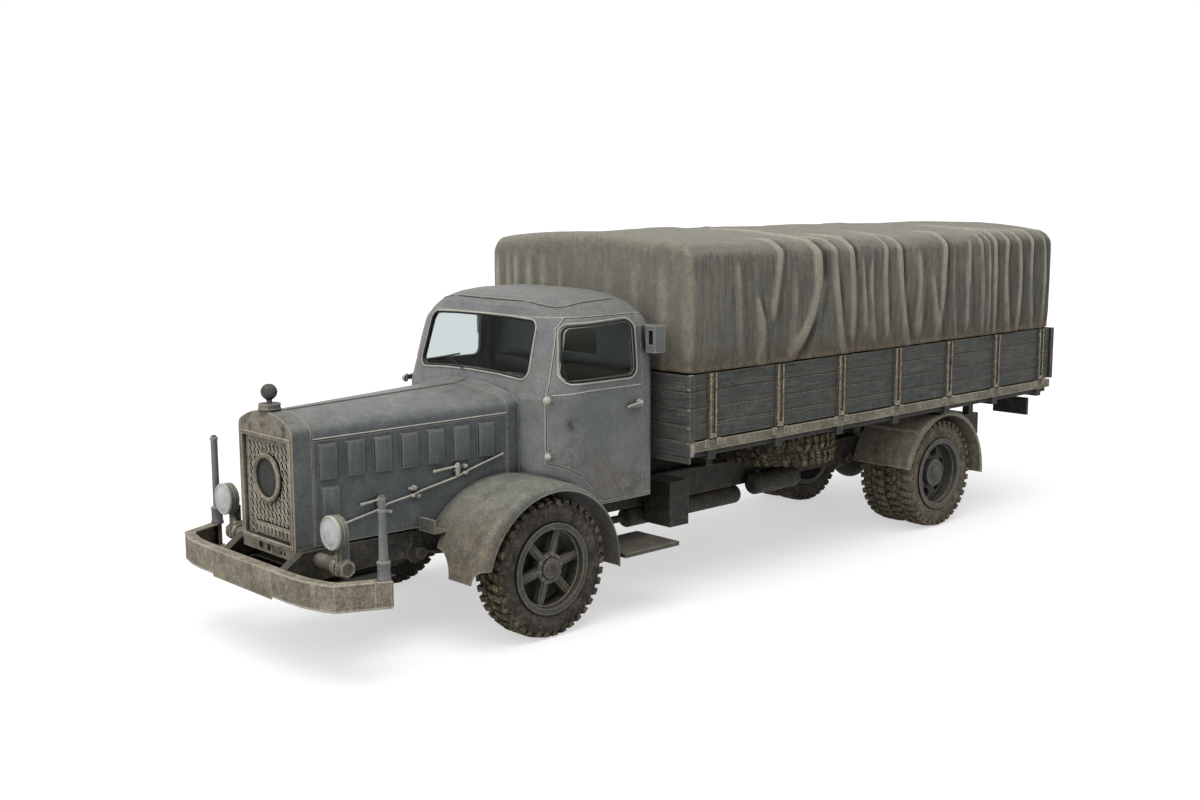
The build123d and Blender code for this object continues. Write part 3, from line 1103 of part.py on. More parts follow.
# ==== steps, lamps, rods and boxes =======================================
STEP_FRONT_X = FENDER_X - FENDER_RADIUS - 4
STEP_REAR_X = STEP_FRONT_X - 590
STEP_TOP_Z = 530
STEP_THICKNESS = 34
STEP_ARM_SETBACK = 170
STEP_ARM_DEPTH = 70
with BuildPart() as steps:
    block((STEP_REAR_X, STEP_FRONT_X), (720, FENDER_OUTER_Y), (STEP_TOP_Z - STEP_THICKNESS, STEP_TOP_Z))
    for arm_x in (STEP_REAR_X + STEP_ARM_SETBACK, STEP_FRONT_X - STEP_ARM_SETBACK):
        block((arm_x - 25, arm_x + 25), (RAIL_OUTER_Y, FENDER_OUTER_Y - 200),
              (STEP_TOP_Z - STEP_ARM_DEPTH, STEP_TOP_Z - STEP_THICKNESS))
        block((arm_x - 25, arm_x + 25), (RAIL_OUTER_Y, RAIL_OUTER_Y + 40),
              (STEP_TOP_Z - STEP_ARM_DEPTH, RAIL_BOTTOM_Z + 80))
    mirror(about=Plane.XZ)
save(steps.part, "steps")

LAMP_X = RADIATOR_FRONT_X - 49
LAMP_Y = 742
LAMP_Z = 1012
LAMP_RADIUS = 114
LENS_RADIUS = 103
LAMP_DEPTH = 92
LENS_DEPTH = 8
BAR_X = RADIATOR_BACK_X
BAR_Z = 750
BAR_RADIUS = 53
BAR_END_Y = 800
with BuildPart() as headlamps:
    with BuildSketch(Plane.YZ.offset(LAMP_X - LAMP_DEPTH)):
        with Locations((LAMP_Y, LAMP_Z)):
            Circle(LAMP_RADIUS)
    extrude(amount=LAMP_DEPTH)
    fillet(headlamps.edges().filter_by(GeomType.CIRCLE).sort_by(Axis.X)[0], 34)
    with BuildSketch(Plane.YZ.offset(LAMP_X - LENS_DEPTH)):
        with Locations((LAMP_Y, LAMP_Z)):
            Circle(LENS_RADIUS)
    extrude(amount=LENS_DEPTH, mode=Mode.SUBTRACT)
    block((BAR_X - 35, BAR_X + 35), (LAMP_Y - 28, LAMP_Y + 28), (BAR_Z, LAMP_Z - 60))
    add(drum(BAR_X, BAR_Z, RAIL_OUTER_Y, BAR_END_Y, BAR_RADIUS))
    add(drum(BAR_X, BAR_Z, BAR_END_Y - 50, BAR_END_Y - 20, BAR_RADIUS + 12))
    mirror(about=Plane.XZ)
save(headlamps.part, "headlamps")

with BuildPart() as lamp_lenses:
    with BuildSketch(Plane.YZ.offset(LAMP_X - LENS_DEPTH)):
        with Locations((LAMP_Y, LAMP_Z)):
            Circle(LENS_RADIUS)
    extrude(amount=LENS_DEPTH + 6)
    fillet(lamp_lenses.edges().filter_by(GeomType.CIRCLE).sort_by(Axis.X)[-1], 5)
    mirror(about=Plane.XZ)
save(lamp_lenses.part, "lamp_lenses")

ROD_X = BUMPER_END_X + 20
ROD_Y = 1140
ROD_FOOT_RADIUS = 40
ROD_FOOT_HEIGHT = 127
ROD_RADIUS = 21
ROD_TAPER = 0.2
with BuildPart() as marker_rods:
    # (Y, top Z) of each rod
    for rod_y, rod_top_z in ((ROD_Y, 1310), (-ROD_Y, 1430)):
        with BuildSketch(Plane.XY.offset(BUMPER_TOP_Z)):
            with Locations((ROD_X, rod_y)):
                Circle(ROD_FOOT_RADIUS)
        extrude(amount=ROD_FOOT_HEIGHT)
        with BuildSketch(Plane.XY.offset(BUMPER_TOP_Z + ROD_FOOT_HEIGHT)):
            with Locations((ROD_X, rod_y)):
                Circle(ROD_RADIUS)
        extrude(amount=rod_top_z - BUMPER_TOP_Z - ROD_FOOT_HEIGHT, taper=ROD_TAPER)
save(marker_rods.part, "marker_rods")

BOX_LOW_Z = 2040
BOX_HIGH_Z = 2250
with BuildPart() as indicator_boxes:
    block((CAB_REAR_X + 5, CAB_REAR_X + 75), (CAB_HALF - 60, CAB_HALF + 130), (BOX_LOW_Z, BOX_HIGH_Z))
    block((CAB_REAR_X + 74, CAB_REAR_X + 115), (CAB_HALF + 30, CAB_HALF + 130), (BOX_LOW_Z, BOX_HIGH_Z))
    block((CAB_REAR_X - 1, CAB_REAR_X + 120), (CAB_HALF + 55, CAB_HALF + 105),
          (BOX_LOW_Z + 60, BOX_HIGH_Z - 35), mode=Mode.SUBTRACT)
    mirror(about=Plane.XZ)
    add(cab_body(-1), mode=Mode.SUBTRACT)
save(indicator_boxes.part, "indicator_boxes")

TANK_RADIUS = 95
with BuildPart() as air_tank:
    with BuildSketch(Plane.YZ.offset(SPARE_X - 330)):
        with Locations((RAIL_OUTER_Y + TANK_RADIUS + 12, RAIL_BOTTOM_Z + 10)):
            Circle(TANK_RADIUS)
    extrude(amount=620)
    fillet(air_tank.edges().filter_by(GeomType.CIRCLE), 45)
    for strap_x in (SPARE_X - 220, SPARE_X + 180):
        block((strap_x - 20, strap_x + 20), (RAIL_OUTER_Y, RAIL_OUTER_Y + TANK_RADIUS),
              (RAIL_BOTTOM_Z + 20, RAIL_BOTTOM_Z + 130))

with BuildPart() as fuel_tank:
    block((BED_FRONT_X - 1150, BED_FRONT_X - 250), (-900, -RAIL_OUTER_Y - 20), (RAIL_BOTTOM_Z - 80, RAIL_TOP_Z + 60))
    fillet(fuel_tank.edges().filter_by(Axis.X), 60)
    for strap_x in (BED_FRONT_X - 950, BED_FRONT_X - 450):
        block((strap_x - 20, strap_x + 20), (-RAIL_OUTER_Y - 60, -RAIL_OUTER_Y), (RAIL_BOTTOM_Z + 40, RAIL_TOP_Z - 40))
with BuildPart() as tanks:
    add(air_tank.part)
    add(fuel_tank.part)
save(tanks.part, "tanks")

with BuildPart() as battery_box:
    block((BED_FRONT_X - 460, BED_FRONT_X - 240), (SILENCER_Y + SILENCER_RADIUS + 10, 790),
          (RAIL_BOTTOM_Z - 130, RAIL_TOP_Z + 20))
    block((BED_FRONT_X - 440, BED_FRONT_X - 260), (RAIL_OUTER_Y, SILENCER_Y + SILENCER_RADIUS + 10),
          (RAIL_BOTTOM_Z + 40, RAIL_TOP_Z - 20))
save(battery_box.part, "battery_box")


# ==== inside the cab =====================================================
SEAT_REAR_X = CAB_REAR_X + CAB_WALL + 20
SEAT_FRONT_X = SEAT_REAR_X + 640
SEAT_HALF = 860
SEAT_TOP_Z = 1400
CUSHION = 150
with BuildPart() as seat_base:
    block((SEAT_REAR_X, SEAT_FRONT_X - 40), (-SEAT_HALF, SEAT_HALF), (FLOOR_SPLIT_Z, SEAT_TOP_Z - CUSHION))
    add(wheel_arch, mode=Mode.SUBTRACT)
    add(wheel_arch.mirror(Plane.XZ), mode=Mode.SUBTRACT)
save(seat_base.part, "seat_base")
with BuildPart() as seat_cushion:
    block((SEAT_REAR_X + 120, SEAT_FRONT_X), (-SEAT_HALF, SEAT_HALF), (SEAT_TOP_Z - CUSHION, SEAT_TOP_Z))
    fillet(seat_cushion.edges(), 30)
save(seat_cushion.part, "seat_cushion")
with BuildPart() as seat_back:
    block((SEAT_REAR_X - 20, SEAT_REAR_X + 118), (-SEAT_HALF, SEAT_HALF), (SEAT_TOP_Z - CUSHION + 2, SEAT_TOP_Z + 500))
    fillet(seat_back.edges(), 30)
save(seat_back.part, "seat_back")

DASH_Y = CAB_HALF - FRONT_CORNER - 25
with BuildPart() as dashboard:
    block((CAB_FRONT_X - 190, CAB_FRONT_X - 100), (-DASH_Y - 150, DASH_Y + 150), (1610, 1800))
    block((CAB_FRONT_X - 110, CAB_FRONT_X - CAB_WALL), (-DASH_Y, DASH_Y), (1640, 1700))
save(dashboard.part, "dashboard")

WHEEL_RIM_RADIUS = 230
COLUMN_Y = 430
COLUMN_FOOT = (CAB_FRONT_X - 120, COLUMN_Y, 1300)
COLUMN_HEAD = (CAB_FRONT_X - 330, COLUMN_Y, 1800)
COLUMN_DIRECTION = tuple(head - foot for head, foot in zip(COLUMN_HEAD, COLUMN_FOOT))
COLUMN_LENGTH = sqrt(sum(step ** 2 for step in COLUMN_DIRECTION))
with BuildPart() as steering_wheel:
    with BuildSketch(Plane(origin=COLUMN_FOOT, z_dir=COLUMN_DIRECTION)):
        Circle(22)
    extrude(amount=COLUMN_LENGTH)
    with BuildSketch(Plane(origin=COLUMN_HEAD, z_dir=COLUMN_DIRECTION)):
        Circle(WHEEL_RIM_RADIUS)
        Circle(WHEEL_RIM_RADIUS - 28, mode=Mode.SUBTRACT)
        with PolarLocations(0, 4):
            Rectangle(2 * WHEEL_RIM_RADIUS - 20, 22)
        Circle(45)
    extrude(amount=24)
save(steering_wheel.part, "steering_wheel")

# ==== load bed ===========================================================
BED_SIDE_FRONT_X = BED_FRONT_X - 45
TAILGATE_DEPTH = 50
TAILGATE_FRONT_X = REAR_X + TAILGATE_DEPTH
SIDE_REAR_X = TAILGATE_FRONT_X + CLEARANCE
SIDE_FRONT_X = BED_SIDE_FRONT_X - CLEARANCE
SIDE_BOTTOM_Z = FLOOR_TOP_Z + 16
GROOVE_ZS = (1431, 1580, 1741)
GROOVE = 8
POST_FLANGE = 17
POST_RECESS = 17
POST_FOOT = 40

# hinge barrels of the drop sides and tailgate stand on brackets along the floor's edge
EDGE_INSET = 18
BARREL_RADIUS = 6
BARREL_INSET = 7
BARREL_Z = FLOOR_TOP_Z + 5
BRACKET_LENGTH = 44
BRACKET_DROP = 55
TAIL_BRACKET_YS = (-BED_Y + 130, -BED_Y / 3 + 80, BED_Y / 3 - 80, BED_Y - 130)
with BuildPart() as bed_floor:
    block((REAR_X + EDGE_INSET, BED_FRONT_X), (-BED_Y + 80, BED_Y - 80), (FLOOR_TOP_Z - FLOOR_THICKNESS, FLOOR_TOP_Z))
    for sign in (1, -1):
        block((REAR_X + EDGE_INSET, BED_FRONT_X), sorted((sign * (BED_Y - 80), sign * (BED_Y - EDGE_INSET))),
              (FLOOR_BOTTOM_Z, FLOOR_TOP_Z))
        for post_x in POST_XS:
            for bracket_x in (post_x - POST_WIDTH / 2 - 30, post_x + POST_WIDTH / 2 + 30):
                barrel_y = sign * (BED_Y - BARREL_INSET)
                block((bracket_x - BRACKET_LENGTH / 2, bracket_x + BRACKET_LENGTH / 2),
                      sorted((sign * (BED_Y - EDGE_INSET), sign * (BED_Y - 1))), (BARREL_Z - BRACKET_DROP, BARREL_Z))
                with BuildSketch(Plane.YZ.offset(bracket_x - BRACKET_LENGTH / 2)):
                    with Locations((barrel_y, BARREL_Z)):
                        Circle(BARREL_RADIUS)
                extrude(amount=BRACKET_LENGTH)
    for bracket_y in TAIL_BRACKET_YS:
        block((REAR_X + 1, REAR_X + EDGE_INSET), (bracket_y - BRACKET_LENGTH / 2, bracket_y + BRACKET_LENGTH / 2),
              (BARREL_Z - BRACKET_DROP, BARREL_Z))
        add(drum(REAR_X + BARREL_INSET, BARREL_Z, bracket_y - BRACKET_LENGTH / 2, bracket_y + BRACKET_LENGTH / 2,
                 BARREL_RADIUS))
save(bed_floor.part, "bed_floor")

# cross bearers on stools, their edge rails, and the lamp plates hung from the last one
SUB_RAIL_HEIGHT = 45
TAIL_PLATE_X = POST_XS[-1] - BEARER_WIDTH / 2
TAIL_PLATE_INNER_Y = 700
TAIL_PLATE_OUTER_Y = 1100
TAIL_PLATE_HEIGHT = 220
with BuildPart() as bed_bearers:
    for post_x in POST_XS:
        block((post_x - BEARER_WIDTH / 2, post_x + BEARER_WIDTH / 2), (-BED_Y + 15, BED_Y - 15),
              (BEARER_BOTTOM_Z, FLOOR_BOTTOM_Z))
        block((post_x - BEARER_WIDTH / 2, post_x + BEARER_WIDTH / 2), (-BED_Y + 80, BED_Y - 80),
              (FLOOR_BOTTOM_Z, FLOOR_TOP_Z - FLOOR_THICKNESS))
        for sign in (1, -1):
            if sign < 0 or abs(post_x - SPARE_X) > TYRE_RADIUS + BEARER_WIDTH:
                block((post_x - BEARER_WIDTH / 2, post_x + BEARER_WIDTH / 2),
                      sorted((sign * RAIL_INNER_Y, sign * RAIL_OUTER_Y)), (RAIL_TOP_Z, BEARER_BOTTOM_Z))
    for sign in (1, -1):
        block((REAR_X + 60, BED_FRONT_X - 10), sorted((sign * (BED_Y - 95), sign * (BED_Y - 45))),
              (FLOOR_BOTTOM_Z - SUB_RAIL_HEIGHT, FLOOR_BOTTOM_Z))
        block((TAIL_PLATE_X, TAIL_PLATE_X + 30), sorted((sign * TAIL_PLATE_INNER_Y, sign * TAIL_PLATE_OUTER_Y)),
              (BEARER_BOTTOM_Z - TAIL_PLATE_HEIGHT, BEARER_BOTTOM_Z - 40))
        block((TAIL_PLATE_X + 10, TAIL_PLATE_X + 60),
              sorted((sign * (TAIL_PLATE_OUTER_Y - 220), sign * (TAIL_PLATE_OUTER_Y - 180))),
              (BEARER_BOTTOM_Z - 120, BEARER_BOTTOM_Z))
save(bed_bearers.part, "bed_bearers")

HEADBOARD_BOTTOM_Z = BEARER_BOTTOM_Z - 8
HEADBOARD_FACING = 12
with BuildPart() as headboard:
    block((BED_SIDE_FRONT_X, BED_FRONT_X), (-BED_Y, BED_Y), (FLOOR_TOP_Z, SIDE_TOP_Z))
    block((BED_FRONT_X, BED_FRONT_X + HEADBOARD_FACING), (-BED_Y, BED_Y), (HEADBOARD_BOTTOM_Z, SIDE_TOP_Z))
    for groove_z in (FLOOR_TOP_Z,) + GROOVE_ZS:
        block((BED_FRONT_X + 6, BED_FRONT_X + 13), (-BED_Y - 1, BED_Y + 1), (groove_z - GROOVE / 2, groove_z + GROOVE / 2),
              mode=Mode.SUBTRACT)
save(headboard.part, "headboard")

for side, sign in SIDES:
    with BuildPart() as drop_side:
        block((SIDE_REAR_X, SIDE_FRONT_X), sorted((sign * BOARD_INNER_Y, sign * BOARD_OUTER_Y)),
              (SIDE_BOTTOM_Z, SIDE_TOP_Z))
        for groove_z in GROOVE_ZS:
            block((SIDE_REAR_X - 1, SIDE_FRONT_X + 1), sorted((sign * (BOARD_OUTER_Y - 6), sign * (BOARD_OUTER_Y + 1))),
                  (groove_z - GROOVE / 2, groove_z + GROOVE / 2), mode=Mode.SUBTRACT)
        for post_x in POST_XS:
            block((post_x - POST_WIDTH / 2, post_x + POST_WIDTH / 2), sorted((sign * (BOARD_OUTER_Y - 8), sign * BED_Y)),
                  (SIDE_BOTTOM_Z, SIDE_TOP_Z))
            block((post_x - POST_WIDTH / 2 + POST_FLANGE, post_x + POST_WIDTH / 2 - POST_FLANGE),
                  sorted((sign * (BED_Y - POST_RECESS), sign * (BED_Y + 1))),
                  (SIDE_BOTTOM_Z + POST_FOOT, SIDE_TOP_Z + 1), mode=Mode.SUBTRACT)
    save(drop_side.part, f"side_{side}")

with BuildPart() as tailgate:
    block((REAR_X + 22, TAILGATE_FRONT_X), (-BED_Y, BED_Y), (SIDE_BOTTOM_Z, SIDE_TOP_Z))
    for groove_z in GROOVE_ZS:
        block((REAR_X + 21, REAR_X + 28), (-BED_Y - 1, BED_Y + 1), (groove_z - GROOVE / 2, groove_z + GROOVE / 2),
              mode=Mode.SUBTRACT)
    for post_y in (-BED_Y + 40, -BED_Y / 3, BED_Y / 3, BED_Y - 40):
        block((REAR_X, REAR_X + 30), (post_y - POST_WIDTH / 2, post_y + POST_WIDTH / 2), (SIDE_BOTTOM_Z, SIDE_TOP_Z))
        block((REAR_X - 1, REAR_X + POST_RECESS),
              (post_y - POST_WIDTH / 2 + POST_FLANGE, post_y + POST_WIDTH / 2 - POST_FLANGE),
              (SIDE_BOTTOM_Z + POST_FOOT, SIDE_TOP_Z + 1), mode=Mode.SUBTRACT)
save(tailgate.part, "tailgate")


def tarp_section(x, inset, bottom):
    return arched(x, BED_Y - inset, bottom, TARP_TOP_Z - inset, TARP_CORNER - inset, TARP_CROWN - inset)


TARP_REAR_X = REAR_X
TARP_FRONT_X = BED_FRONT_X + HEADBOARD_FACING
TOWARDS_FRONT = (1, 0, 0)


def end_edges(piece):
    """Edges around both ends of a tunnel, all but those along its open foot."""
    ends = piece.faces().sort_by(Axis.X)
    return ends[0].edges().sort_by(Axis.Z)[1:] + ends[-1].edges().sort_by(Axis.Z)[1:]


with BuildPart() as tarp_outer:
    extrude(tarp_section(TARP_REAR_X, 0, HEM_Z), amount=TARP_FRONT_X - TARP_REAR_X, dir=TOWARDS_FRONT)
    fillet(end_edges(tarp_outer), TARP_END_ROUNDING)
with BuildPart() as tarp_space:
    extrude(tarp_section(TARP_REAR_X + TARP_WALL, TARP_WALL, HEM_Z - TARP_WALL),
            amount=TARP_FRONT_X - TARP_REAR_X - 2 * TARP_WALL, dir=TOWARDS_FRONT)
    fillet(end_edges(tarp_space), TARP_END_ROUNDING - TARP_WALL)
with BuildPart() as tarp:
    add(tarp_outer.part)
    add(tarp_space.part, mode=Mode.SUBTRACT)
save(tarp.part, "tarp")

# bows stand on the floor inside the tarpaulin, with a small gap under it
BOW_GAP = TARP_WALL + 40
BOW_OUTER_Y = BOARD_INNER_Y - 16
BOW_CORNER = TARP_CORNER - BOW_GAP - 40
BOW_END_SETBACK = 160
BOW_FRONT_X = BED_FRONT_X - BOW_END_SETBACK
BOW_PITCH = (BOW_FRONT_X - REAR_X - BOW_END_SETBACK) / (BOW_COUNT - 1)
with BuildPart() as tarp_bows:
    for bow in range(BOW_COUNT):
        bow_x = BOW_FRONT_X - BOW_PITCH * bow - BOW_DEPTH / 2
        extrude(arched(bow_x, BOW_OUTER_Y, FLOOR_TOP_Z, TARP_TOP_Z - BOW_GAP, BOW_CORNER, TARP_CROWN),
                amount=BOW_DEPTH, dir=TOWARDS_FRONT)
    for bow in range(BOW_COUNT):
        bow_x = BOW_FRONT_X - BOW_PITCH * bow - BOW_DEPTH
        extrude(arched(bow_x, BOW_OUTER_Y - BOW_DEPTH, FLOOR_TOP_Z - BOW_DEPTH, TARP_TOP_Z - BOW_GAP - BOW_DEPTH,
                       BOW_CORNER - BOW_DEPTH, TARP_CROWN - BOW_DEPTH),
                amount=2 * BOW_DEPTH, dir=TOWARDS_FRONT, mode=Mode.SUBTRACT)
save(tarp_bows.part, "tarp_bows")

# ==== rear fittings ======================================================
COUPLING_Z = (RAIL_BOTTOM_Z + RAIL_TOP_Z) / 2
COUPLING_PIN_RADIUS = 21
COUPLING_X = RAIL_REAR_X - 46
COUPLING_HALF = 75
with BuildPart() as tow_coupling:
    block((RAIL_REAR_X, RAIL_REAR_X + RAIL_WALL), (-140, 140), (COUPLING_Z - 100, COUPLING_Z + 100))
    for low_z, high_z in ((COUPLING_Z - COUPLING_HALF, COUPLING_Z - COUPLING_HALF + 35),
                          (COUPLING_Z + COUPLING_HALF - 35, COUPLING_Z + COUPLING_HALF)):
        block((COUPLING_X, RAIL_REAR_X), (-42, 42), (low_z, high_z))
        with BuildSketch(Plane.XY.offset(low_z)):
            with Locations((COUPLING_X, 0)):
                Circle(42)
        extrude(amount=high_z - low_z)
    with BuildSketch(Plane.XY.offset(COUPLING_Z - COUPLING_HALF)):
        with Locations((COUPLING_X, 0)):
            Circle(COUPLING_PIN_RADIUS)
    extrude(amount=2 * COUPLING_HALF, mode=Mode.SUBTRACT)
with BuildPart() as coupled_crossmembers:
    add(crossmembers.part)
    add(tow_coupling.part)
save(coupled_crossmembers.part, "crossmembers")
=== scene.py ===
import bpy
import bmesh
import json
import math
from mathutils import Matrix, Vector, noise
from mathutils.bvhtree import BVHTree


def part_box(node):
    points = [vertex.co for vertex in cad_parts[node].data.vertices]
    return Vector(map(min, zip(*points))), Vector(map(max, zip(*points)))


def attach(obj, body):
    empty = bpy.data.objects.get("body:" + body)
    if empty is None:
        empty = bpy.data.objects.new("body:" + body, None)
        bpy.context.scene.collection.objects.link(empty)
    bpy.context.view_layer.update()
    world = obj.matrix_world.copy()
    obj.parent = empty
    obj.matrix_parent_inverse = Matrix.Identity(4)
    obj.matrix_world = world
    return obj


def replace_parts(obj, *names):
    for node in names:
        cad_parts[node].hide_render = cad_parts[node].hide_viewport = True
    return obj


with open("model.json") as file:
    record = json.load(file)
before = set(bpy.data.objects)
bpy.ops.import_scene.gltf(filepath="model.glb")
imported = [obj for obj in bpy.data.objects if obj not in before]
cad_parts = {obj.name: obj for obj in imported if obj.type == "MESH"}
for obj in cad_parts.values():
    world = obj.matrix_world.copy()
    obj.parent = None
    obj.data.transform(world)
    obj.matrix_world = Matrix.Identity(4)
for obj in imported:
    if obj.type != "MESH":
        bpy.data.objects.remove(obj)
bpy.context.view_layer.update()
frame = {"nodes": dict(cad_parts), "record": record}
record = frame["record"]
scene = bpy.context.scene
scene.view_settings.view_transform = "Standard"

# ---------------------------------------------------------------- helpers


def linear(colour):
    """sRGB hex such as "62686b" to linear RGBA."""
    parts = [int(colour[k:k + 2], 16) / 255 for k in (0, 2, 4)]
    return [p / 12.92 if p <= 0.04045 else ((p + 0.055) / 1.055) ** 2.4 for p in parts] + [1.0]


def add_node(tree, kind, values=None, links=None, **settings):
    """One shader node with its settings, socket values and incoming links."""
    node = tree.nodes.new(kind)
    for name, value in settings.items():
        setattr(node, name, value)
    for socket, value in (values or {}).items():
        node.inputs[socket].default_value = value
    for socket, source in (links or {}).items():
        tree.links.new(source, node.inputs[socket])
    return node


def new_material(name):
    """Empty material with a Principled shader joined to its output."""
    material = bpy.data.materials.new(name)
    material.use_nodes = True
    tree = material.node_tree
    return material, tree, tree.nodes["Principled BSDF"]


def blend(tree, factor, low, high, mode="MIX"):
    """Mix of two colours; each may be a socket or an RGBA list."""
    node = add_node(tree, "ShaderNodeMix", data_type="RGBA", blend_type=mode)
    for socket, value in ((node.inputs[0], factor), (node.inputs[6], low), (node.inputs[7], high)):
        if isinstance(value, bpy.types.NodeSocket):
            tree.links.new(value, socket)
        else:
            socket.default_value = value
    return node.outputs[2]


def ramp(tree, source, low, high):
    """0 below low, 1 above high, smooth between."""
    return add_node(tree, "ShaderNodeMapRange", {"From Min": low, "From Max": high},
                    {"Value": source}, interpolation_type="SMOOTHSTEP").outputs["Result"]


def times(tree, *factors):
    """Product of sockets and numbers."""
    result = factors[0]
    for factor in factors[1:]:
        node = add_node(tree, "ShaderNodeMath", operation="MULTIPLY")
        for socket, value in ((node.inputs[0], result), (node.inputs[1], factor)):
            if isinstance(value, bpy.types.NodeSocket):
                tree.links.new(value, socket)
            else:
                socket.default_value = value
        result = node.outputs[0]
    return result


def speckle(tree, place, size_mm, detail=4.0, stretch=(1, 1, 1), roughness=0.55):
    """Noise whose patches are about size_mm across; stretch lengthens them along an axis."""
    scale = [1000 / size_mm / s for s in stretch]
    mapped = add_node(tree, "ShaderNodeMapping", {"Scale": scale}, {"Vector": place})
    return add_node(tree, "ShaderNodeTexNoise", {"Scale": 1.0, "Detail": detail, "Roughness": roughness},
                    {"Vector": mapped.outputs[0]}).outputs["Fac"]


def surface_reads(tree):
    """Place, height, how far the face looks up, how near an edge it is, how open to the sky."""
    place = add_node(tree, "ShaderNodeTexCoord").outputs["Object"]
    height = add_node(tree, "ShaderNodeSeparateXYZ", links={0: place}).outputs["Z"]
    geometry = add_node(tree, "ShaderNodeNewGeometry")
    up = add_node(tree, "ShaderNodeSeparateXYZ", links={0: geometry.outputs["Normal"]}).outputs["Z"]
    rounded = add_node(tree, "ShaderNodeBevel", {"Radius": 0.014}, samples=4)
    facing = add_node(tree, "ShaderNodeVectorMath", links={0: rounded.outputs[0],
                                                           1: geometry.outputs["Normal"]},
                      operation="DOT_PRODUCT").outputs["Value"]
    edge = add_node(tree, "ShaderNodeMath", {0: 1.0}, {1: facing}, operation="SUBTRACT").outputs[0]
    open_sky = add_node(tree, "ShaderNodeAmbientOcclusion", {"Distance": 0.09}, samples=6).outputs["AO"]
    return place, height, up, edge, open_sky


def distance_out(tree, place):
    """Distance from the truck's middle plane."""
    across = add_node(tree, "ShaderNodeSeparateXYZ", links={0: place}).outputs["Y"]
    return add_node(tree, "ShaderNodeMath", links={0: across}, operation="ABSOLUTE").outputs[0]


def seen_rays(tree):
    """1 for rays that show the surface itself, in view, in a mirror or through glass; 0 for its light."""
    rays = add_node(tree, "ShaderNodeLightPath")
    direct = add_node(tree, "ShaderNodeMath",
                      links={0: rays.outputs["Is Camera Ray"], 1: rays.outputs["Is Glossy Ray"]},
                      operation="MAXIMUM")
    seen = add_node(tree, "ShaderNodeMath",
                    links={0: direct.outputs[0], 1: rays.outputs["Is Transmission Ray"]},
                    operation="MAXIMUM")
    return seen.outputs[0]


def less(tree, source):
    """One minus a value."""
    return add_node(tree, "ShaderNodeMath", {0: 1.0}, {1: source}, operation="SUBTRACT").outputs[0]


def mottled(tree, place, colour, depth):
    """The colour made patchy at 90, 22 and 7 mm, as hand-worked dirt and faded paint are."""
    for size_mm, share in ((90, 0.8), (22, 1.0), (7, 0.7)):
        patches = ramp(tree, speckle(tree, place, size_mm, 5, roughness=0.62), 0.36, 0.64)
        dark = 1 - 0.3 * depth * share
        light = 1 + 0.1 * depth * share
        colour = blend(tree, 1.0, colour, blend(tree, patches, [dark] * 3 + [1], [light] * 3 + [1]),
                       "MULTIPLY")
    return colour


def stained(tree, place, colour, stains):
    """Stains on both sides: ((X, distance from the middle plane, Z), reach in mm, share, colour)."""
    mirrored = add_node(tree, "ShaderNodeVectorMath", links={0: place}, operation="ABSOLUTE").outputs[0]
    blotches = ramp(tree, speckle(tree, place, 85, 8, roughness=0.7), 0.42, 0.6)
    for point, reach_mm, share, tint in stains:
        away = add_node(tree, "ShaderNodeVectorMath", {1: point}, {0: mirrored},
                        operation="DISTANCE").outputs["Value"]
        near = less(tree, ramp(tree, away, 0.15 * reach_mm / 1000, reach_mm / 1000))
        colour = blend(tree, times(tree, near, blotches, share), colour, linear(tint))
    return colour


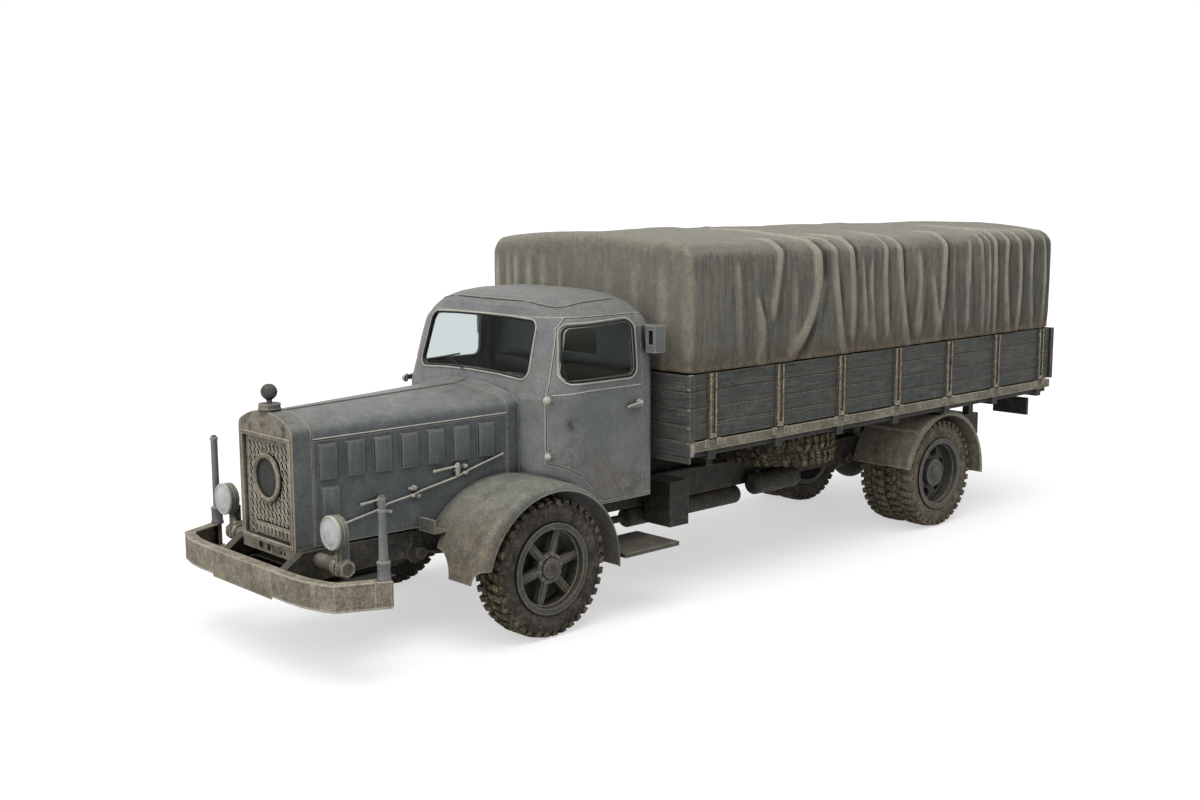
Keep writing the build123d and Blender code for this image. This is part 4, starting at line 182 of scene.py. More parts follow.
def weathered_paint(name, paint, shade, dust, worn, roughness, dusty=0.8, wear=0.9, mud=0.6, rust=0.3,
                    depth=0.8, stains=(), bare_front=None, grain_mm=6.0, dark_strip=None):
    """Sprayed paint: patchy coat, dust on top faces (also painted light from above), pale rubbed edges,
    painted shade in seams and recesses, mud low down.
    """
    material, tree, shader = new_material(name)
    place, height, up, edge, open_sky = surface_reads(tree)
    clouds = speckle(tree, place, 420, 5)
    colour = blend(tree, ramp(tree, clouds, 0.35, 0.68), linear(shade), linear(paint))
    streaks = speckle(tree, place, 30, 4, (1, 1, 9))
    colour = blend(tree, times(tree, ramp(tree, streaks, 0.52, 0.76), 0.3), colour, linear(dust))
    if bare_front:
        reach = add_node(tree, "ShaderNodeSeparateXYZ", links={0: place}).outputs["X"]
        colour = blend(tree, ramp(tree, reach, bare_front[0] - 0.002, bare_front[0]), colour,
                       linear(bare_front[1]))
    # dust on faces that look up; it also paints the tops lighter, as painted light from above
    top_dust_and_light = times(tree, ramp(tree, up, 0.2, 0.9), ramp(tree, speckle(tree, place, 160, 6), 0.1, 0.6),
                    dusty)
    colour = blend(tree, top_dust_and_light, colour, linear(dust))
    if dark_strip:
        out = distance_out(tree, place)
        colour = blend(tree, less(tree, ramp(tree, out, dark_strip - 0.002, dark_strip)), colour,
                       linear("1a1a19"))
    chips = times(tree, ramp(tree, speckle(tree, place, 60, 8, roughness=0.72), 0.6, 0.68),
                  ramp(tree, speckle(tree, place, 600, 2), 0.45, 0.62), rust)
    colour = blend(tree, chips, colour, linear("3d2f25"))
    low = less(tree, ramp(tree, height, 0.4, 1.3))
    splash = times(tree, low, ramp(tree, speckle(tree, place, 60, 7, roughness=0.65), 0.4, 0.66), mud)
    colour = blend(tree, splash, colour, linear("74664f"))
    colour = stained(tree, place, colour, stains)
    colour = mottled(tree, place, colour, depth)
    # painted shade: darkens corners, seams and recesses that the ambient-occlusion read finds
    crevice_shade = less(tree, open_sky)
    colour = blend(tree, times(tree, ramp(tree, crevice_shade, 0.14, 0.7), 0.88), colour, linear("141413"))
    rubbed = times(tree, ramp(tree, edge, 0.012, 0.12), ramp(tree, speckle(tree, place, 30, 6), 0.22, 0.5),
                   wear)
    colour = blend(tree, rubbed, colour, linear(worn))
    tree.links.new(colour, shader.inputs["Base Color"])
    rough = add_node(tree, "ShaderNodeMapRange", {"To Min": roughness - 0.08, "To Max": roughness + 0.14},
                     {"Value": clouds}).outputs[0]
    tree.links.new(rough, shader.inputs["Roughness"])
    shader.inputs["Specular IOR Level"].default_value = 0.28
    fine = speckle(tree, place, grain_mm, 6)
    bump = add_node(tree, "ShaderNodeBump", {"Strength": 0.45, "Distance": 0.002}, {"Height": fine})
    tree.links.new(bump.outputs[0], shader.inputs["Normal"])
    return material


# ---------------------------------------------------------------- materials
# A paint is given by its name, then four colours (coat, its darker patches, dust, rubbed edges), its
# roughness and five shares: dust, rubbing, mud, rust and how deep its patches go. The dust also paints
# top faces lighter, as painted light from above.
# A stain is (X, distance from the middle plane, Z), reach in mm, share and colour.
CAB_STAINS = (
    ((2.44, 0.95, 1.49), 190, 0.7, "51483a"),
    ((2.07, 0.985, 1.31), 200, 0.6, "544635"),
    ((1.78, 0.985, 1.1), 260, 0.65, "7b674a"),
    ((1.5, 0.985, 0.98), 300, 0.6, "5d5140"),
    ((2.28, 0.7, 1.86), 330, 0.55, "777064"),
    ((2.1, 0.985, 1.55), 90, 0.8, "262422"),
)
# semi-matt grey service paint over sheet steel; dry pale edges, brown stains low on the cab
body_paint = weathered_paint("sprayed_service_paint", "828584", "727676", "7d7e78", "b1aea3", 0.46, 0.7,
                             0.95, 0.35, 0.2, 0.45, CAB_STAINS)
# the same paint on the bonnet, a shade darker on its sides and clean but for dust
bonnet_paint = weathered_paint("hot_bonnet_paint", "656a6b", "555a5b", "82857f", "aeaca2", 0.44, 0.8, 0.95,
                               0.3, 0.1, 0.5)
# cowl and the bonnet's hinge rod, which is black with grease
cowl_paint = weathered_paint("cowl_paint", "656a6b", "555a5b", "82857f", "aeaca2", 0.44, 0.8, 0.95, 0.3,
                             0.1, 0.5, dark_strip=0.0115)
# radiator surround: its face has lost most of its paint and is the colour of dry mud
SHELL_STAINS = (
    ((4.145, 0.22, 1.66), 150, 0.9, "221f1b"),
    ((4.145, 0.03, 1.69), 90, 0.8, "2a2620"),
    ((4.145, 0.1, 0.8), 260, 0.8, "39332a"),
    ((4.095, 0.0, 1.79), 140, 0.5, "6d6557"),
)
shell_paint = weathered_paint("flaking_radiator_paint", "6b6f6f", "5c6061", "8a877d", "b5ae9f", 0.55, 0.8,
                              1.0, 0.35, 0.2, 0.6, SHELL_STAINS, (4.144, "8d8577"))
# the same paint under road dust, which makes the fenders greener and flatter
fender_paint = weathered_paint("dusty_fender_paint", "76766f", "5f605b", "8c8b82", "b0aca0", 0.5, 0.85,
                               0.85, 0.8, 0.25, 0.8, (((3.05, 1.0, 0.7), 520, 0.75, "8f8169"),))
# brushed-on dark chassis paint, oily and full of road dirt
chassis_paint = weathered_paint("chassis_black_paint", "414241", "2f302f", "5f5b51", "837d70", 0.62, 0.5,
                                0.7, 0.55, 0.4, 1.1)
# bumper and rails: paint bleached and scuffed to the colour of dry dirt
bleached_paint = weathered_paint("bleached_scuffed_paint", "a69e8d", "837c6c", "b3aa98", "cbc3b2", 0.72,
                                 0.65, 1.0, 0.3, 0.35, 1.1, grain_mm=11.0)
# rear mudguards: the same paint under splashed tan mud
splashed_paint = weathered_paint("mud_splashed_paint", "a39e90", "858073", "aaa292", "c3bbaa", 0.6, 0.6,
                                 0.8, 0.9, 0.2, 0.9)
# vent covers: bonnet paint with only their corners rubbed
cover_paint = weathered_paint("vent_cover_paint", "6a6f70", "5b6061", "868983", "a9a79d", 0.44, 0.6, 0.3,
                              0.2, 0.1, 0.4)
# pressed and cast wheel centres, same paint with mud in the corners
wheel_paint = weathered_paint("wheel_service_paint", "5b5c59", "45463f", "79746a", "98948a", 0.5, 0.45,
                              0.85, 0.5, 0.3, 0.9)
# bright-worn steel of levers, catches and balls, dulled by handling
worn_steel = weathered_paint("hand_worn_steel", "c0bcb1", "97938a", "b3aea2", "d8d4c9", 0.42, 0.4, 0.9, 0.1,
                             0.15, 0.6)
# plain steel-sheet edges and beads rubbed back to pale primer
rubbed_bead = weathered_paint("rubbed_primer_edges", "c4c0b5", "a3a096", "bbb7ac", "d4d0c6", 0.55, 0.4, 0.7,
                              0.1, 0.1, 0.5)
# black glazing rubber, dull; also the black bead that paints the roof seam's shadow
glazing_rubber = weathered_paint("black_glazing_rubber_and_painted_shadow", "232322", "181818", "4a4842", "3d3c39", 0.7, 0.4,
                                 0.4, 0.1, 0.0, 0.5)
# woven steel wire, dusty on its crowns and black between
mesh_paint = weathered_paint("dusty_woven_wire", "7c7566", "3f3b34", "8d8574", "d6cdb9", 0.66, 0.4, 1.0,
                             0.1, 0.2, 1.0)
cast_iron = weathered_paint("oily_cast_iron", "3e3e3d", "2e2e2d", "55524c", "66625b", 0.6, 0.3, 0.4, 0.5,
                            0.6)
# soot-black radiator core behind the wire
core_paint = weathered_paint("sooty_radiator_core", "131211", "0b0b0a", "1d1b18", "2b2925", 0.8, 0.3, 0.3,
                             0.0, 0.1)


def plank_paint(name, low_tint, high_tint, post_mask):
    """Painted softwood boards: long grain, dark joints, dry upper edges; posts of rusty steel."""
    material, tree, shader = new_material(name)
    place, height, up, edge, open_sky = surface_reads(tree)
    grain = speckle(tree, place, 9, 6, (34, 34, 1))
    colour = blend(tree, ramp(tree, grain, 0.3, 0.72), linear(low_tint), linear(high_tint))
    # each of the four boards has its own dry, pale upper edge: 131 mm pitch, 16 mm strip
    within = add_node(tree, "ShaderNodeMath", {1: -1.326}, {0: height}, operation="ADD").outputs[0]
    turns = add_node(tree, "ShaderNodeMath", {1: 0.131}, {0: within}, operation="DIVIDE").outputs[0]
    share = add_node(tree, "ShaderNodeMath", links={0: turns}, operation="FRACT").outputs[0]
    dry_edge = times(tree, ramp(tree, share, 0.86, 0.9),
                     ramp(tree, speckle(tree, place, 60, 6, (9, 9, 1)), 0.3, 0.6), 0.35)
    colour = blend(tree, dry_edge, colour, linear("8b8373"))
    joint = less(tree, times(tree, ramp(tree, share, 0.01, 0.055),
                             less(tree, ramp(tree, share, 0.955, 0.985))))
    colour = blend(tree, times(tree, joint, 0.85), colour, linear("141413"))
    stains = times(tree, ramp(tree, speckle(tree, place, 120, 6, (3, 3, 1)), 0.5, 0.72), 0.55)
    colour = blend(tree, stains, colour, linear("6e675a"))
    if post_mask:
        out = distance_out(tree, place)
        crust = blend(tree, ramp(tree, speckle(tree, place, 16, 7, (1, 1, 2), 0.68), 0.42, 0.6),
                      linear("766d5d"), linear("c8bea9"))
        colour = blend(tree, ramp(tree, out, 1.2262, 1.2272), colour, crust)
    colour = mottled(tree, place, colour, 0.7)
    # painted shade in corners and recesses, from the ambient-occlusion read
    crevice_shade = less(tree, open_sky)
    colour = blend(tree, times(tree, ramp(tree, crevice_shade, 0.1, 0.5), 0.93), colour, linear("0f0f0f"))
    rubbed = times(tree, ramp(tree, edge, 0.012, 0.12), ramp(tree, speckle(tree, place, 26, 6), 0.3, 0.55),
                   0.6)
    colour = blend(tree, rubbed, colour, linear("a49b89"))
    tree.links.new(colour, shader.inputs["Base Color"])
    shader.inputs["Roughness"].default_value = 0.72
    shader.inputs["Specular IOR Level"].default_value = 0.25
    bump = add_node(tree, "ShaderNodeBump", {"Strength": 0.5, "Distance": 0.002}, {"Height": grain})
    tree.links.new(bump.outputs[0], shader.inputs["Normal"])
    return material


def canvas_cloth():
    """Proofed cotton canvas: coarse weave, roof lighter from fading and painted light, painted highlights on
    fold crowns and painted shade in the hollows, grimy hem.
    """
    material, tree, shader = new_material("proofed_cotton_canvas")
    place = add_node(tree, "ShaderNodeTexCoord").outputs["Object"]
    split = add_node(tree, "ShaderNodeSeparateXYZ", links={0: place})
    height = split.outputs["Z"]
    geometry = add_node(tree, "ShaderNodeNewGeometry")
    facing = add_node(tree, "ShaderNodeSeparateXYZ", links={0: geometry.outputs["Normal"]})
    up = facing.outputs["Z"]
    fold = add_node(tree, "ShaderNodeAttribute", attribute_name="fold_height").outputs["Fac"]
    clouds = speckle(tree, place, 520, 6)
    colour = blend(tree, ramp(tree, clouds, 0.32, 0.7), linear("6a685f"), linear("807e74"))
    runs = speckle(tree, place, 42, 5, (1, 1, 14))
    colour = blend(tree, times(tree, ramp(tree, runs, 0.46, 0.74), 0.5), colour, linear("94907f"))
    for size_mm, share, tint in ((50, 0.55, "4f4c44"), (26, 0.5, "3f3d37"), (19, 0.45, "a49f90")):
        streaks = speckle(tree, place, size_mm, 5, (1, 1, 12))
        colour = blend(tree, times(tree, ramp(tree, streaks, 0.5, 0.74), share), colour, linear(tint))
    # the canvas darkens towards the tail end; a painted highlight runs down the rounded front corners
    place_x = split.outputs["X"]
    behind = less(tree, ramp(tree, place_x, -4.3, -0.6))
    colour = blend(tree, times(tree, behind, 0.5), colour, linear("413f39"))
    # roof and front end lighter: partly sun bleaching, partly painted light from above and from the front
    colour = blend(tree, times(tree, ramp(tree, up, 0.25, 0.95), 0.8), colour, linear("938f83"))
    colour = blend(tree, times(tree, ramp(tree, facing.outputs["X"], 0.4, 0.95), 0.5), colour,
                   linear("8b877a"))
    # painted highlight on the crowns of the folds and painted shade in their hollows, read from the fold
    # height
    colour = blend(tree, times(tree, ramp(tree, fold, 0.52, 0.85), 0.85), colour, linear("b0aa9a"))
    colour = blend(tree, times(tree, less(tree, ramp(tree, fold, 0.12, 0.48)), 0.85), colour,
                   linear("34322d"))
    # painted shade: the sides darken towards their lower part
    low_side_shade = less(tree, ramp(tree, height, 1.9, 2.7))
    colour = blend(tree, times(tree, low_side_shade, less(tree, ramp(tree, up, 0.2, 0.7)), 0.28), colour,
                   linear("4c4a43"))
    colour = mottled(tree, place, colour, 0.45)
    # painted highlight: a pale band along the rounded front corners of the cover
    corner = times(tree, ramp(tree, place_x, 1.045, 1.075), less(tree, ramp(tree, place_x, 1.085, 1.105)),
                   ramp(tree, speckle(tree, place, 50, 6), 0.3, 0.6), 0.35)
    colour = blend(tree, corner, colour, linear("a59b87"))
    hem = less(tree, ramp(tree, height, 1.87, 2.1))
    grime = times(tree, hem, ramp(tree, speckle(tree, place, 70, 7, (1, 1, 2)), 0.3, 0.62), 0.85)
    colour = blend(tree, grime, colour, linear("5b4d3c"))
    crust = times(tree, less(tree, ramp(tree, height, 1.862, 1.93)),
                  ramp(tree, speckle(tree, place, 30, 7), 0.4, 0.6), 0.8)
    colour = blend(tree, crust, colour, linear("8b7b62"))
    tree.links.new(colour, shader.inputs["Base Color"])
    shader.inputs["Roughness"].default_value = 0.93
    shader.inputs["Specular IOR Level"].default_value = 0.15
    shader.inputs["Sheen Weight"].default_value = 0.12
    shader.inputs["Sheen Roughness"].default_value = 0.6
    weave = add_node(tree, "ShaderNodeTexWave", {"Scale": 45.0, "Distortion": 1.5}, {"Vector": place},
                     bands_direction="X")
    cross = add_node(tree, "ShaderNodeTexWave", {"Scale": 45.0, "Distortion": 1.5}, {"Vector": place},
                     bands_direction="Z")
    thread = times(tree, weave.outputs["Fac"], cross.outputs["Fac"])
    lumps = add_node(tree, "ShaderNodeMath", links={0: thread, 1: speckle(tree, place, 25, 6)},
                     operation="ADD").outputs[0]
    bump = add_node(tree, "ShaderNodeBump", {"Strength": 0.4, "Distance": 0.003}, {"Height": lumps})
    tree.links.new(bump.outputs[0], shader.inputs["Normal"])
    return material


def tyre_rubber(name, low_tint, high_tint, mud_tint, muddy):
    """Moulded natural rubber, browned with age, dried mud on the lugs and shadow between them."""
    material, tree, shader = new_material(name)
    place = add_node(tree, "ShaderNodeTexCoord").outputs["Object"]
    clouds = speckle(tree, place, 120, 6)
    colour = blend(tree, ramp(tree, clouds, 0.35, 0.7), linear(low_tint), linear(high_tint))
    mud = ramp(tree, speckle(tree, place, 44, 8, roughness=0.66), 0.44, 0.6)
    lugs = add_node(tree, "ShaderNodeAttribute", attribute_name="tread_share").outputs["Fac"]
    colour = blend(tree, times(tree, mud, lugs, 0.85), colour, linear(mud_tint))
    colour = blend(tree, times(tree, mud, muddy), colour, linear("7d715e"))
    colour = mottled(tree, place, colour, 1.2)
    hollow = add_node(tree, "ShaderNodeAmbientOcclusion", {"Distance": 0.05}, samples=6).outputs["AO"]
    colour = blend(tree, times(tree, ramp(tree, less(tree, hollow), 0.25, 0.75), 0.85), colour,
                   linear("12100e"))
    tree.links.new(colour, shader.inputs["Base Color"])
    shader.inputs["Roughness"].default_value = 0.85
    shader.inputs["Specular IOR Level"].default_value = 0.22
    bump = add_node(tree, "ShaderNodeBump", {"Strength": 0.7, "Distance": 0.006},
                    {"Height": speckle(tree, place, 18, 7)})
    tree.links.new(bump.outputs[0], shader.inputs["Normal"])
    return material


def window_glass():
    """Flat drawn window glass, evenly clear."""
    material, tree, shader = new_material("drawn_window_glass")
    shader.inputs["Base Color"].default_value = linear("dfe4e4")
    shader.inputs["Roughness"].default_value = 0.06
    shader.inputs["Transmission Weight"].default_value = 1.0
    shader.inputs["IOR"].default_value = 1.1
    return material


def lamp_glass():
    """Pressed lamp glass, milky with dust and lit only by the sky."""
    material, tree, shader = new_material("pressed_lamp_glass")
    place = add_node(tree, "ShaderNodeTexCoord").outputs["Object"]
    haze = speckle(tree, place, 60, 5)
    colour = blend(tree, ramp(tree, haze, 0.3, 0.75), linear("a9acab"), linear("c3c6c5"))
    tree.links.new(colour, shader.inputs["Base Color"])
    shader.inputs["Roughness"].default_value = 0.32
    flutes = add_node(tree, "ShaderNodeTexWave", {"Scale": 22.0}, {"Vector": place}, bands_direction="Y")
    bump = add_node(tree, "ShaderNodeBump", {"Strength": 0.25, "Distance": 0.003},
                    {"Height": flutes.outputs["Fac"]})
    tree.links.new(bump.outputs[0], shader.inputs["Normal"])
    return material


def oilcloth():
    """Brown oilcloth seat cover: grained, with a soft shine all over."""
    material, tree, shader = new_material("grained_oilcloth")
    place = add_node(tree, "ShaderNodeTexCoord").outputs["Object"]
    colour = blend(tree, speckle(tree, place, 90, 5), linear("2b221c"), linear("46382d"))
    tree.links.new(colour, shader.inputs["Base Color"])
    shader.inputs["Roughness"].default_value = 0.5
    grain = add_node(tree, "ShaderNodeTexVoronoi", {"Scale": 260.0}, {"Vector": place}).outputs["Distance"]
    bump = add_node(tree, "ShaderNodeBump", {"Strength": 0.3, "Distance": 0.001}, {"Height": grain})
    tree.links.new(bump.outputs[0], shader.inputs["Normal"])
    return material


def black_resin():
    """Moulded black resin of the steering wheel, polished by hands."""
    material, tree, shader = new_material("moulded_black_resin")
    place = add_node(tree, "ShaderNodeTexCoord").outputs["Object"]
    colour = blend(tree, speckle(tree, place, 40, 4), linear("161615"), linear("262524"))
    tree.links.new(colour, shader.inputs["Base Color"])
    shader.inputs["Roughness"].default_value = 0.35
    return material


board_paint = plank_paint("painted_softwood_boards", "404241", "666964", True)
end_board_paint = plank_paint("painted_end_boards", "424443", "62645f", False)
canvas = canvas_cloth()
rubber = tyre_rubber("moulded_tyre_rubber", "44413c", "5f5b53", "9a8868", 0.25)
# rear tyres: a lighter copy of the tyre rubber, partly tan mud and partly painted light that lifts them out
# of the shade under the bed
lightened_muddy_rubber = tyre_rubber("muddy_and_lightened_tyre_rubber", "66615a", "88816f", "b8a685", 0.7)
glass = window_glass()
lamp = lamp_glass()
seat_cover = oilcloth()
resin = black_resin()

NODE_FINISH = {"bumper": bleached_paint, "grille": core_paint, "engine": cast_iron, "fenders": fender_paint,
               "mudguards": splashed_paint, "steps": wheel_paint, "headlamps": fender_paint,
               "marker_rods": wheel_paint, "front_wheel_left": wheel_paint,
               "front_wheel_right": wheel_paint, "rear_wheel_left": wheel_paint,
               "rear_wheel_right": wheel_paint, "spare_rim": wheel_paint, "bed_bearers": chassis_paint,
               "bed_floor": bleached_paint, "headboard": end_board_paint, "tailgate": end_board_paint,
               "side_left": board_paint, "side_right": board_paint, "radiator_shell": shell_paint,
               "bonnet_left": bonnet_paint, "bonnet_right": bonnet_paint, "bonnet_sides": bonnet_paint,
               "cowl": cowl_paint}
SLOT_FINISH = {"body_paint": body_paint, "chassis_paint": chassis_paint, "bumper_paint": bleached_paint,
               "wheel_paint": wheel_paint, "marker_paint": wheel_paint, "grille_metal": mesh_paint,
               "cast_iron": cast_iron, "tyre": rubber, "window_glass": glass, "lamp_glass": lamp,
               "canvas": canvas, "planks": end_board_paint, "seat_leather": seat_cover,
               "black_resin": resin}
slot_of = {row["node"]: row["material_slot"] for row in record["subparts"]}
for node, obj in frame["nodes"].items():
    finish = NODE_FINISH.get(node, SLOT_FINISH[slot_of[node]])
    for material_slot in obj.material_slots:
        material_slot.material = finish
    if not obj.material_slots:
        obj.data.materials.append(finish)

# ---------------------------------------------------------------- pieces


def finish_piece(bm, name, material, body="root", smooth=35.0):
    """Turns a bmesh into a piece that rides on a body; flat faces meet at angles over smooth degrees."""
    bmesh.ops.remove_doubles(bm, verts=bm.verts, dist=0.00001)
    bmesh.ops.recalc_face_normals(bm, faces=bm.faces)
    mesh = bpy.data.meshes.new(name)
    bm.to_mesh(mesh)
    bm.free()
    mesh.materials.append(material)
    obj = bpy.data.objects.new(name, mesh)
    scene.collection.objects.link(obj)
    mesh.shade_smooth()
    mesh.set_sharp_from_angle(angle=math.radians(smooth))
    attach(obj, body)
    return obj


def merge_in(bm, shape, matrix):
    """Adds a finished shape to a piece, moved by the matrix."""
    bmesh.ops.transform(shape, matrix=matrix, verts=shape.verts)
    mesh = bpy.data.meshes.new("shape")
    shape.to_mesh(mesh)
    shape.free()
    bm.from_mesh(mesh)
    bpy.data.meshes.remove(mesh)


def add_block(bm, low, high, bevel=0.0, turn=Matrix.Identity(4)):
    """Box between two corners, with rounded edges; turn is a matrix about its centre."""
    low, high = Vector(low), Vector(high)
    shape = bmesh.new()
    bmesh.ops.create_cube(shape, size=1.0)
    bmesh.ops.scale(shape, vec=high - low, verts=shape.verts)
    if bevel:
        bmesh.ops.bevel(shape, geom=list(shape.edges), offset=bevel, offset_type="OFFSET", segments=2,
                        profile=0.5, affect="EDGES", material=-1)
    merge_in(bm, shape, Matrix.Translation((low + high) / 2) @ turn)


def add_rod(bm, start, end, radius, radius_end=None, segments=12):
    """Round bar from start to end."""
    start, end = Vector(start), Vector(end)
    axis = end - start
    shape = bmesh.new()
    bmesh.ops.create_cone(shape, cap_ends=True, segments=segments, radius1=radius,
                          radius2=radius if radius_end is None else radius_end, depth=axis.length)
    turn = Vector((0, 0, 1)).rotation_difference(axis).to_matrix().to_4x4()
    merge_in(bm, shape, Matrix.Translation((start + end) / 2) @ turn)


def smoothstep(value, low, high):
    """0 below low, 1 above high, smooth between, for plain numbers."""
    t = min(1.0, max(0.0, (value - low) / (high - low)))
    return t * t * (3 - 2 * t)


def add_turned(bm, profile, centre, axis, steps=36):
    """Shape turned about an axis: (distance along the axis, radius) from one end to the other."""
    shape = bmesh.new()
    points = [shape.verts.new((radius, 0, along)) for along, radius in profile]
    edges = [shape.edges.new(pair) for pair in zip(points, points[1:])]
    bmesh.ops.spin(shape, geom=points + edges, cent=(0, 0, 0), axis=(0, 0, 1), angle=math.tau, steps=steps,
                   use_merge=True, dvec=(0, 0, 0))
    bmesh.ops.remove_doubles(shape, verts=shape.verts, dist=0.00001)
    turn = Vector((0, 0, 1)).rotation_difference(Vector(axis)).to_matrix().to_4x4()
    merge_in(bm, shape, Matrix.Translation(Vector(centre)) @ turn)


def add_bead(bm, points, radius, closed=False):
    """Round bead along a line of points."""
    line = bpy.data.curves.new("bead", "CURVE")
    line.dimensions = "3D"
    run = line.splines.new("POLY")
    run.points.add(len(points) - 1)
    for knot, point in zip(run.points, points):
        knot.co = (*point, 1)
    run.use_cyclic_u = closed
    line.bevel_depth = radius
    line.bevel_resolution = 2
    line.use_fill_caps = True
    holder = bpy.data.objects.new("bead", line)
    mesh = bpy.data.meshes.new_from_object(holder)
    bm.from_mesh(mesh)
    bpy.data.objects.remove(holder)
    bpy.data.curves.remove(line)
    bpy.data.meshes.remove(mesh)


def skin(*nodes):
    """Search tree over the surface of some CAD nodes."""
    points, faces = [], []
    for node in nodes:
        mesh = frame["nodes"][node].data
        start = len(points)
        points += [v.co.copy() for v in mesh.vertices]
        faces += [[start + k for k in face.vertices] for face in mesh.polygons]
    return BVHTree.FromPolygons(points, faces)


def laid(tree, origins, direction, proud=0.0):
    """Where rays from the origins meet a surface, lifted off it a little; a ray that misses is left out."""
    direction = Vector(direction).normalized()
    found = [tree.ray_cast(Vector(origin), direction)[0] for origin in origins]
    return [point - direction * proud for point in found if point is not None]


def rounded_outline(corners, radius, steps=5):
    """Closed outline in a plane with its corners rounded, as a list of pairs, about 40 mm apart."""
    line = []
    count = len(corners)
    for k, corner in enumerate(corners):
        here = Vector(corner)
        to_last = (Vector(corners[k - 1]) - here).normalized()
        to_next = (Vector(corners[(k + 1) % count]) - here).normalized()
        half = to_last.angle(to_next) / 2
        centre = here + (to_last + to_next).normalized() * radius / math.sin(half)
        start = here + to_last * radius / math.tan(half) - centre
        end = here + to_next * radius / math.tan(half) - centre
        for step in range(steps + 1):
            line.append(centre + start.lerp(end, step / steps).normalized() * radius)
    dense = []
    for k, point in enumerate(line):
        following = line[(k + 1) % len(line)]
        parts = max(1, round((following - point).length / 0.04))
        dense += [point.lerp(following, part / parts) for part in range(parts)]
    return [tuple(p) for p in dense]


# ---- tyres: a turned carcass and two rows of chunky lugs with shoulder blocks
AXLE_Z = 0.529
FRONT_AXLE_X = 2.448
REAR_AXLE_X = -2.602
TYRE_PROFILE = (
    # distance from the wheel's middle plane, radius
    (0.098, 0.338), (0.112, 0.342), (0.124, 0.36), (0.128, 0.375), (0.1345, 0.40), (0.135, 0.425),
    (0.1315, 0.45),
    (0.126, 0.462), (0.122, 0.484), (0.108, 0.497), (0.055, 0.503), (0.0, 0.5045),
)
LUG_ROWS = (
    # inner edge, outer edge, share of the pitch taken at each, part of a pitch ahead
    (0.008, 0.066, 0.62, 0.56, 0.0),
    (0.062, 0.128, 0.56, 0.66, 0.16),
)
LUG_COUNT = 38


def tyre_shape(bm, centre, seed):
    """One tyre around +Y through centre."""
    tread = bm.verts.layers.float.get("tread_share") or bm.verts.layers.float.new("tread_share")
    centre = Vector(centre)
    ring = [bm.verts.new((0, -y, r)) for y, r in TYRE_PROFILE]
    ring += [bm.verts.new((0, y, r)) for y, r in TYRE_PROFILE[-2::-1]]
    edges = [bm.edges.new(pair) for pair in zip(ring, ring[1:])] + [bm.edges.new((ring[-1], ring[0]))]
    bmesh.ops.spin(bm, geom=ring + edges, cent=(0, 0, 0), axis=(0, 1, 0), angle=math.tau, steps=102,
                   use_merge=True, dvec=(0, 0, 0))
    pitch = math.tau / LUG_COUNT
    for side in (1, -1):
        for number in range(LUG_COUNT):
            for inner, outer, share_in, share_out, ahead in LUG_ROWS:
                wobble = 0.02 * noise.noise((number * 1.7, side * 3.1, inner * 90 + seed))
                angle = (number + ahead + (0.5 if side < 0 else 0)) * pitch
                made = bmesh.ops.create_cube(bm, size=1.0)["verts"]
                for v in made:
                    far = v.co.y > 0
                    across = outer if far else inner
                    top = v.co.z > 0
                    share = (share_out if far else share_in) * (0.86 if top else 1.06)
                    rounding = 0.012 if far and outer > 0.1 else 0.0
                    radius = 0.5278 - rounding + wobble * 0.1 if top else 0.494
                    width = across - (0.006 if top and far else 0.0) + (0.006 if top and not far else 0.0)
                    skew = 0.1 * pitch * (1 if far else -1)
                    phi = angle + v.co.x * pitch * share + skew + wobble * 0.3
                    v.co = Vector((math.sin(phi) * radius, side * width, math.cos(phi) * radius))
            angle = (number + 0.16 + (0.5 if side < 0 else 0)) * pitch
            made = bmesh.ops.create_cube(bm, size=1.0)["verts"]
            for v in made:
                proud = v.co.y > 0
                high = v.co.z > 0
                radius = 0.515 if high else 0.462
                width = (0.1345 if not high else 0.131) if proud else 0.118
                phi = angle + v.co.x * pitch * (0.6 if high else 0.4) + 0.1 * pitch
                v.co = Vector((math.sin(phi) * radius, side * width, math.cos(phi) * radius))
    new = [v for v in bm.verts if not v.tag]
    for v in new:
        v[tread] = smoothstep(math.hypot(v.co.x, v.co.z), 0.455, 0.5)
    bmesh.ops.translate(bm, vec=centre, verts=new)
    for v in bm.verts:
        v.tag = True


TYRES = (
    # name, node replaced, body, axle X, Y of each tyre
    ("lugged_tyre_front_left", "front_tyre_left", "front_wheel_left", FRONT_AXLE_X, (1.0,)),
    ("lugged_tyre_front_right", "front_tyre_right", "front_wheel_right", FRONT_AXLE_X, (-1.0,)),
    ("lugged_tyres_rear_left", "rear_tyres_left", "rear_wheel_left", REAR_AXLE_X, (0.957, 0.661)),
    ("lugged_tyres_rear_right", "rear_tyres_right", "rear_wheel_right", REAR_AXLE_X, (-0.957, -0.661)),
)
for seed, (name, node, body, axle_x, middles) in enumerate(TYRES):
    bm = bmesh.new()
    for y in middles:
        tyre_shape(bm, (axle_x, y, AXLE_Z), seed * 5.0 + y)
    piece = finish_piece(bm, name, rubber if axle_x > 0 else lightened_muddy_rubber, body, 28)
    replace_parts(piece, node)

low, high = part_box("spare_tyre")
spare_centre = (Vector(low) + Vector(high)) / 2
bm = bmesh.new()
tyre_shape(bm, (0, 0, 0), 31.0)
lying = Matrix.Translation(spare_centre) @ Matrix.Rotation(math.radians(90), 4, "X")
bmesh.ops.transform(bm, matrix=lying, verts=bm.verts)
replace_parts(finish_piece(bm, "lugged_spare_tyre", rubber, "root", 28), "spare_tyre")

# ---- tarpaulin: one sewn cover over its bows, hanging in folds down both sides
cover_low, cover_high = (Vector(corner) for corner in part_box("tarp"))
COVER_HALF = 1.247
COVER_HEM = 1.86
CROWN = 0.088
SIDE_ROUND = 0.13
END_ROUND = 0.075
REAR_ROUND = 0.2
CUTS = (256, 76, 42)
